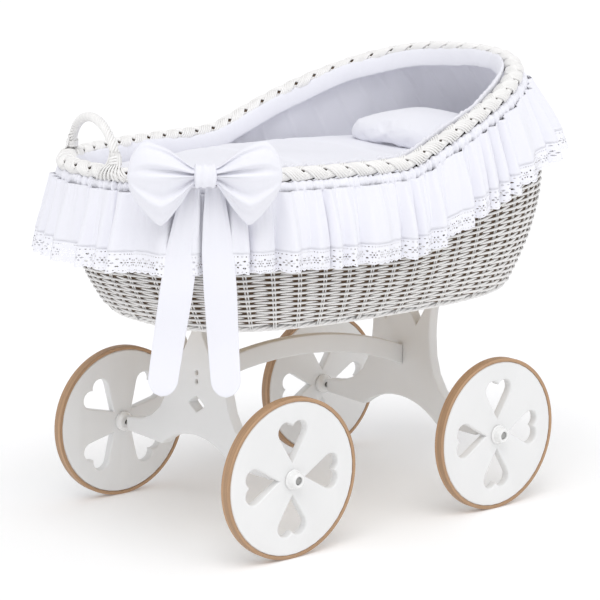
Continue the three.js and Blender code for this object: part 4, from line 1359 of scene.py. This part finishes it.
def crowned(low, high, rounding, crown, steps=9, rings=14):
    """Profile of a flat-bottomed pad: a short lower curve, an upright side, a quarter circle and a crown
    that rises as 1 - share^2."""
    low_turn = np.linspace(0, np.pi / 2, 5)
    turn = np.linspace(0, np.pi / 2, steps)
    wide = 0.12
    side = [(1 - 0.05 * (1 - np.sin(a)), low + 8 * MM * (1 - np.cos(a))) for a in low_turn]
    upper = [
        (1 - wide * (1 - np.cos(a)), high - rounding * (1 - np.sin(a))) for a in turn
    ]
    inner = [
        (s, high + crown * (1 - (s / (1 - wide)) ** 2)) for s in np.linspace(1 - wide, 0.02, rings)[1:]
    ]
    floor = [(s, low) for s in np.linspace(0.02, 0.94, 10)]
    return floor + side + upper + inner


def inside_lining(out):
    def edge(angle, height):
        points = wall_at(angle, height, LINING_OUT - 4 * MM + out)
        return points[..., 0], points[..., 1]

    return edge


def creases(points, seed, depth, length):
    """Shallow folds on a top face: seeded waves across the plan, fading at the edge."""
    random = np.random.default_rng(seed)
    total = np.zeros(len(points))
    for _ in range(9):
        turn = random.uniform(0, TURN)
        wave = length * random.uniform(0.5, 1.6)
        along = points[:, 0] * np.cos(turn) + points[:, 1] * np.sin(turn)
        bend = 0.35 * np.sin((points[:, 0] - points[:, 1]) / (wave * 2.3) + turn)
        total = total + np.sin(TURN * along / wave + bend + random.uniform(0, TURN)) * wave / length
    return depth * total / 4.5


class OBJECT_OT_bassinet_bedding(bpy.types.Operator):
    """Fill the basket: mattress, quilted coverlet with its seams, and the pillow"""

    bl_idname = "object.bassinet_bedding"
    bl_label = "Bedding"

    def execute(self, context):
        cloth = context.scene.bassinet_cloth
        low, high = corners("mattress")
        base = cushion(
            "mattress_pad",
            crowned(low[2] + 0.5 * MM, high[2] - 1 * MM, 14 * MM, 0),
            inside_lining(-9 * MM),
            (MIDDLE_X, 0),
        )
        settle(base, "bedding_cotton", stands_for=("mattress",))

        low, high = corners("coverlet")
        quilt = cushion(
            "coverlet_quilt",
            crowned(low[2] + 1 * MM, high[2] - 7 * MM, 40 * MM, 4 * MM),
            inside_lining(-8 * MM),
            (MIDDLE_X, 0),
        )
        stuffed(quilt, 6 * MM, cloth)
        points = coordinates(quilt)
        upper = smooth_step((points[:, 2] - high[2] + 60 * MM) / (50 * MM))
        seams = np.zeros(len(points))
        for place in (-0.26, -0.07, 0.115):
            line = place + 0.012 * np.sin(points[:, 1] * 21)
            seams += np.exp(-(((points[:, 0] - line) / (5 * MM)) ** 2))
        points[:, 2] += upper * (creases(points, 51, 2.6 * MM, 0.16) - 4.5 * MM * seams)
        points[:, 2] = np.maximum(points[:, 2], low[2] + 0.3 * MM)
        put_coordinates(quilt, points)
        smoothed(quilt)
        settle(quilt, "bedding_cotton", stands_for=("coverlet",))

        low, high = corners("pillow")
        middle, half = (low + high) / 2, (high - low) / 2

        def edge(angle, height):
            power = 2 / 3
            x = middle[0] + (half[0] - 5 * MM) * signed_power(np.cos(angle), power)
            y = middle[1] + (half[1] - 5 * MM) * signed_power(np.sin(angle), power)
            return np.broadcast_arrays(x, y, height)[:2]

        profile = crowned(low[2] + 2 * MM, high[2] - 22 * MM, 24 * MM, 20 * MM)
        pillow = cushion("pillow_case", profile, edge, middle[:2], 96)
        stuffed(pillow, 5 * MM, cloth)
        points = coordinates(pillow)
        upper = smooth_step((points[:, 2] - low[2]) / (30 * MM))
        points[:, 2] += upper * creases(points, 61, 1.4 * MM, 0.09)
        points[:, 2] = np.maximum(points[:, 2], low[2])
        put_coordinates(pillow, points)
        smoothed(pillow)
        settle(pillow, "bedding_cotton", stands_for=("pillow",))
        return {"FINISHED"}


# ---- Bow -----------------------------------------------------------------------------------------
BOW_ANGLE, BOW_OUT, BOW_SHIFT = np.radians(222.0), 58 * MM, 1 * MM
KNOT_Z, KNOT_HEIGHT = 668 * MM, 40 * MM
LOOP_START, LOOP_LENGTH = 15 * MM, 110 * MM
LOOP_PLACES = [0, 0.07, 0.2, 0.37, 0.5, 0.57, 0.66, 0.72, 0.8, 0.87, 0.94, 0.98, 1.0]
LOOP_TOPS = [12, 15, 27, 41, 48, 51, 54.5, 56, 53, 45, 32, 18, 0]
LOOP_LOWS = [13, 20, 43, 68, 82, 79, 69, 62, 51, 41, 28, 16, 0]
LOOP_DEPTHS = [10, 12, 15, 18, 19, 19, 18.5, 18, 16, 13, 9, 5.5, 0]
TAILS = {"left": (-20 * MM, 9.0), "right": (16 * MM, -3.0)}
TAIL_TILT, TAIL_OUT, TAIL_DROP = np.radians(8.0), 35 * MM, 342 * MM


def bow_frame(points):
    """Points given as (along the rim, up, outwards) at the bow's place on the rim."""
    x, y, nx, ny = outline(BOW_ANGLE, RIM)
    origin = np.array([x + nx * BOW_OUT, y + ny * BOW_OUT, 0.0])
    axes = np.array([[-ny, nx, 0.0], [0.0, 0.0, 1.0], [nx, ny, 0.0]])
    return origin + (points + np.array([BOW_SHIFT, 0.0, 0.0])) @ axes


def bow_loop(side):
    """A wing of ribbon: sections grow from the knot to the two corners and close in a curve at the end;
    creases run out of the knot at fixed shares of the height and fade towards the end."""
    along = np.linspace(0, 1, 64) ** 0.9
    around = np.arange(96) * TURN / 96
    top = np.interp(along, LOOP_PLACES, LOOP_TOPS) * MM
    low = np.interp(along, LOOP_PLACES, LOOP_LOWS) * MM
    for _ in range(2):
        top[1:-1] = (top[:-2] + 2 * top[1:-1] + top[2:]) / 4
        low[1:-1] = (low[:-2] + 2 * low[1:-1] + low[2:]) / 4
    depth = np.interp(along, LOOP_PLACES, LOOP_DEPTHS) * MM
    s, c = np.sin(around)[None, :], np.cos(around)[None, :]
    high = np.where(s > 0, top[:, None], low[:, None]) * np.sign(s) * np.abs(s) ** 0.9
    share = signed_power(s, 0.9) * (1 if side > 0 else 0.96)
    folds = np.cos(TURN * 1.9 * share + 0.6) + 0.5 * np.cos(TURN * 3.3 * share - 0.9)
    folds = folds * (1 - along[:, None]) ** 0.9 * smooth_step(along[:, None] * 9 + 0.35)
    thick = depth[:, None] * signed_power(c, 1.25) * (1 + 0.34 * folds)
    thick = thick + 3.2 * MM * folds * (np.abs(c) ** 0.6) * np.sign(c)
    x = side * (LOOP_START + LOOP_LENGTH * along[:, None])
    y = KNOT_Z + high
    points = bow_frame(np.stack(np.broadcast_arrays(x, y, thick), -1))
    part = surface(points, False, True, along * 0.12, np.arange(97) * 2.5 * MM, flip=side < 0)
    part = lid(part, np.arange(96), side > 0)
    return lid(part, 63 * 96 + np.arange(96), side < 0)


def bow_tail(name):
    """A ribbon that widens below the knot and ends in a rounded point; three gathers fade out below the
    knot and the cloth waves gently along its length."""
    start, lean = TAILS[name]
    lean = np.radians(lean)
    down = np.linspace(0, 1, 110)
    half = np.interp(down, [0, 0.12, 0.3, 0.5, 0.92], [14, 20, 26, 27, 24.5]) * MM
    tip = np.sqrt(np.clip(1 - (np.maximum(0, down - 0.915) / 0.085) ** 2, 0, 1))
    half = half * tip**1.1
    around = np.arange(28) * TURN / 28
    s, c = np.sin(around)[None, :], np.cos(around)[None, :]
    across = half[:, None] * signed_power(c, 0.75)
    share = signed_power(c, 0.75)
    gathers = 3.6 * MM * np.cos(TURN * 1.3 * share + (0.4 if name == "left" else 1.7))
    gathers = gathers * np.exp(-down[:, None] * 7)
    seed = 71 if name == "left" else 72
    wave = 3.5 * MM * ripple(down, seed, 3, 1, 2)[:, None] * smooth_step(down[:, None] * 2)
    cup = 2.5 * MM * share**2 * np.sin(np.pi * down[:, None])
    flat = 1.5 * MM * s * tip[:, None] ** 0.5
    v = -down[:, None] * TAIL_DROP
    x, y, z = np.broadcast_arrays(across, v, flat + gathers + wave - cup)
    x, y = x * np.cos(-lean) - y * np.sin(-lean), x * np.sin(-lean) + y * np.cos(-lean)
    tilt = -TAIL_TILT
    y, z = y * np.cos(tilt) - z * np.sin(tilt), y * np.sin(tilt) + z * np.cos(tilt)
    top = KNOT_Z - KNOT_HEIGHT / 2 - 3 * MM
    points = bow_frame(np.stack([x + start, y + top, z + TAIL_OUT - BOW_OUT], -1))
    part = surface(points, False, True, down * TAIL_DROP, np.arange(29) * 4 * MM)
    part = lid(part, np.arange(28), True)
    return lid(part, 109 * 28 + np.arange(28), False)


class OBJECT_OT_bassinet_bow(bpy.types.Operator):
    """Tie the bow: two creased loops, the banded knot and two hanging tails"""

    bl_idname = "object.bassinet_bow"
    bl_label = "Bow"

    def execute(self, context):
        for side, name in ((-1, "left"), (1, "right")):
            loop = object_from("loop_" + name, [bow_loop(side)])
            settle(loop, "bow_cotton", stands_for=("bow_loop_" + name,))
            ribbon = object_from("tail_" + name, [bow_tail(name)])
            settle(ribbon, "bow_cotton", stands_for=("bow_tail_" + name,))
        across = np.linspace(-1, 1, 60)
        around = np.arange(72) * TURN / 72
        bands = 1 + 0.055 * np.cos(across * 8.5 + 0.7) - 0.05 * np.exp(-((across - 0.55) ** 2) * 160)
        bands = bands * (1 - 0.5 * np.clip((np.abs(across) - 0.86) / 0.14, 0, 1) ** 2)
        s, c = np.sin(around)[None, :], np.cos(around)[None, :]
        up = 19 * MM * bands[:, None] * signed_power(s, 0.8)
        out = 19.5 * MM * bands[:, None] * signed_power(c, 0.8)
        x = across[:, None] * (19 * MM - 1.5 * MM * np.abs(s))
        points = bow_frame(np.stack(np.broadcast_arrays(x, KNOT_Z + up, out), -1))
        part = surface(points, False, True, across * 0.02, np.arange(73) * 1.7 * MM, flip=False)
        part = lid(part, np.arange(72), True)
        part = lid(part, 59 * 72 + np.arange(72), False)
        knot = object_from("knot", [part])
        settle(knot, "bow_cotton", stands_for=("bow_knot",))
        return {"FINISHED"}


# ---- Studio --------------------------------------------------------------------------------------
class SCENE_OT_bassinet_studio(bpy.types.Operator):
    """Lay the pale floor and set the lights, the even sky and the camera"""

    bl_idname = "scene.bassinet_studio"
    bl_label = "Studio"

    def execute(self, context):
        studio = context.scene.bassinet_studio
        reach = np.linspace(-30, 30, 9)
        x, y = np.meshgrid(reach, reach, indexing="ij")
        floor = object_from("floor", [surface(np.stack([x, y, 0 * x], -1))])
        material = bpy.data.materials.new("plain_floor")
        material.use_nodes = True
        shader = material.node_tree.nodes["Principled BSDF"]
        shader.inputs["Base Color"].default_value = tone(studio.floor_color)
        shader.inputs["Roughness"].default_value = 0.9
        shader.inputs["Specular IOR Level"].default_value = 0.1
        shader.inputs["Emission Color"].default_value = (1.0, 1.0, 1.0, 1.0)
        shader.inputs["Emission Strength"].default_value = studio.glow
        floor.data.materials.append(material)

        world = bpy.data.worlds.new("even_sky")
        world.use_nodes = True
        sky = world.node_tree.nodes["Background"]
        sky.inputs[0].default_value = (0.975, 0.98, 1.0, 1.0)
        sky.inputs[1].default_value = studio.sky
        context.scene.world = world
        for name, place, spread, strength in (
            ("key_light", (-0.55, -0.5, 1.35), 42.0, studio.key),
            ("side_light", (0.6, -1.0, 0.9), 60.0, studio.key * 0.3),
        ):
            light = bpy.data.lights.new(name, "SUN")
            light.angle, light.energy = np.radians(spread), strength
            lamp = bpy.data.objects.new(name, light)
            lamp.rotation_euler = (-Vector(place)).to_track_quat("-Z", "Y").to_euler()
            context.scene.collection.objects.link(lamp)

        azimuth, tilt = np.radians(studio.azimuth), np.radians(studio.tilt)
        ahead = Vector(
            (-np.sin(azimuth) * np.cos(tilt), np.cos(azimuth) * np.cos(tilt), -np.sin(tilt))
        )
        right = ahead.cross(Vector((0, 0, 1))).normalized()
        up = right.cross(ahead)
        roll = np.radians(studio.roll)
        right, up = np.cos(roll) * right + np.sin(roll) * up, np.cos(roll) * up - np.sin(roll) * right
        turn = Matrix((right, up, -ahead)).transposed().to_4x4()
        data = bpy.data.cameras.new("camera")
        data.lens, data.sensor_width = studio.lens, 36.0
        data.clip_start, data.clip_end = 0.05, 100.0
        camera = bpy.data.objects.new("camera", data)
        camera.matrix_world = Matrix.Translation(Vector(studio.camera_place)) @ turn
        context.scene.collection.objects.link(camera)
        context.scene.camera = camera
        context.scene.view_settings.view_transform = "Standard"
        context.scene.view_settings.look = "None"
        return {"FINISHED"}


class VIEW3D_PT_bassinet(bpy.types.Panel):
    """Lists the bassinet's settings and the steps that build it"""

    bl_label = "Bassinet on a stand"
    bl_idname = "VIEW3D_PT_bassinet"
    bl_space_type = "VIEW_3D"
    bl_region_type = "UI"
    bl_category = "Bassinet"

    def draw(self, context):
        for name, group in SETTINGS.items():
            settings = getattr(context.scene, name)
            box = self.layout.box()
            for key in group.__annotations__:
                box.prop(settings, key)
        for operator in OPERATORS:
            self.layout.operator(operator.bl_idname)


OPERATORS = (
    SCENE_OT_bassinet_studio,
    OBJECT_OT_bassinet_boards,
    OBJECT_OT_bassinet_wheels,
    OBJECT_OT_bassinet_wall,
    OBJECT_OT_bassinet_border,
    OBJECT_OT_bassinet_braid,
    OBJECT_OT_bassinet_handle,
    OBJECT_OT_bassinet_frill,
    OBJECT_OT_bassinet_lining,
    OBJECT_OT_bassinet_bedding,
    OBJECT_OT_bassinet_bow,
)
CLASSES = (*SETTINGS.values(), *OPERATORS, VIEW3D_PT_bassinet)


def register():
    for item in CLASSES:
        bpy.utils.register_class(item)
    for name, group in SETTINGS.items():
        setattr(bpy.types.Scene, name, PointerProperty(type=group))


def unregister():
    for name in SETTINGS:
        delattr(bpy.types.Scene, name)
    for item in reversed(CLASSES):
        bpy.utils.unregister_class(item)


def main():
    """Builds every piece in order."""
    register()
    for operator in OPERATORS:
        group, call = operator.bl_idname.split(".")
        getattr(getattr(bpy.ops, group), call)()


if __name__ == "__main__":
    main()
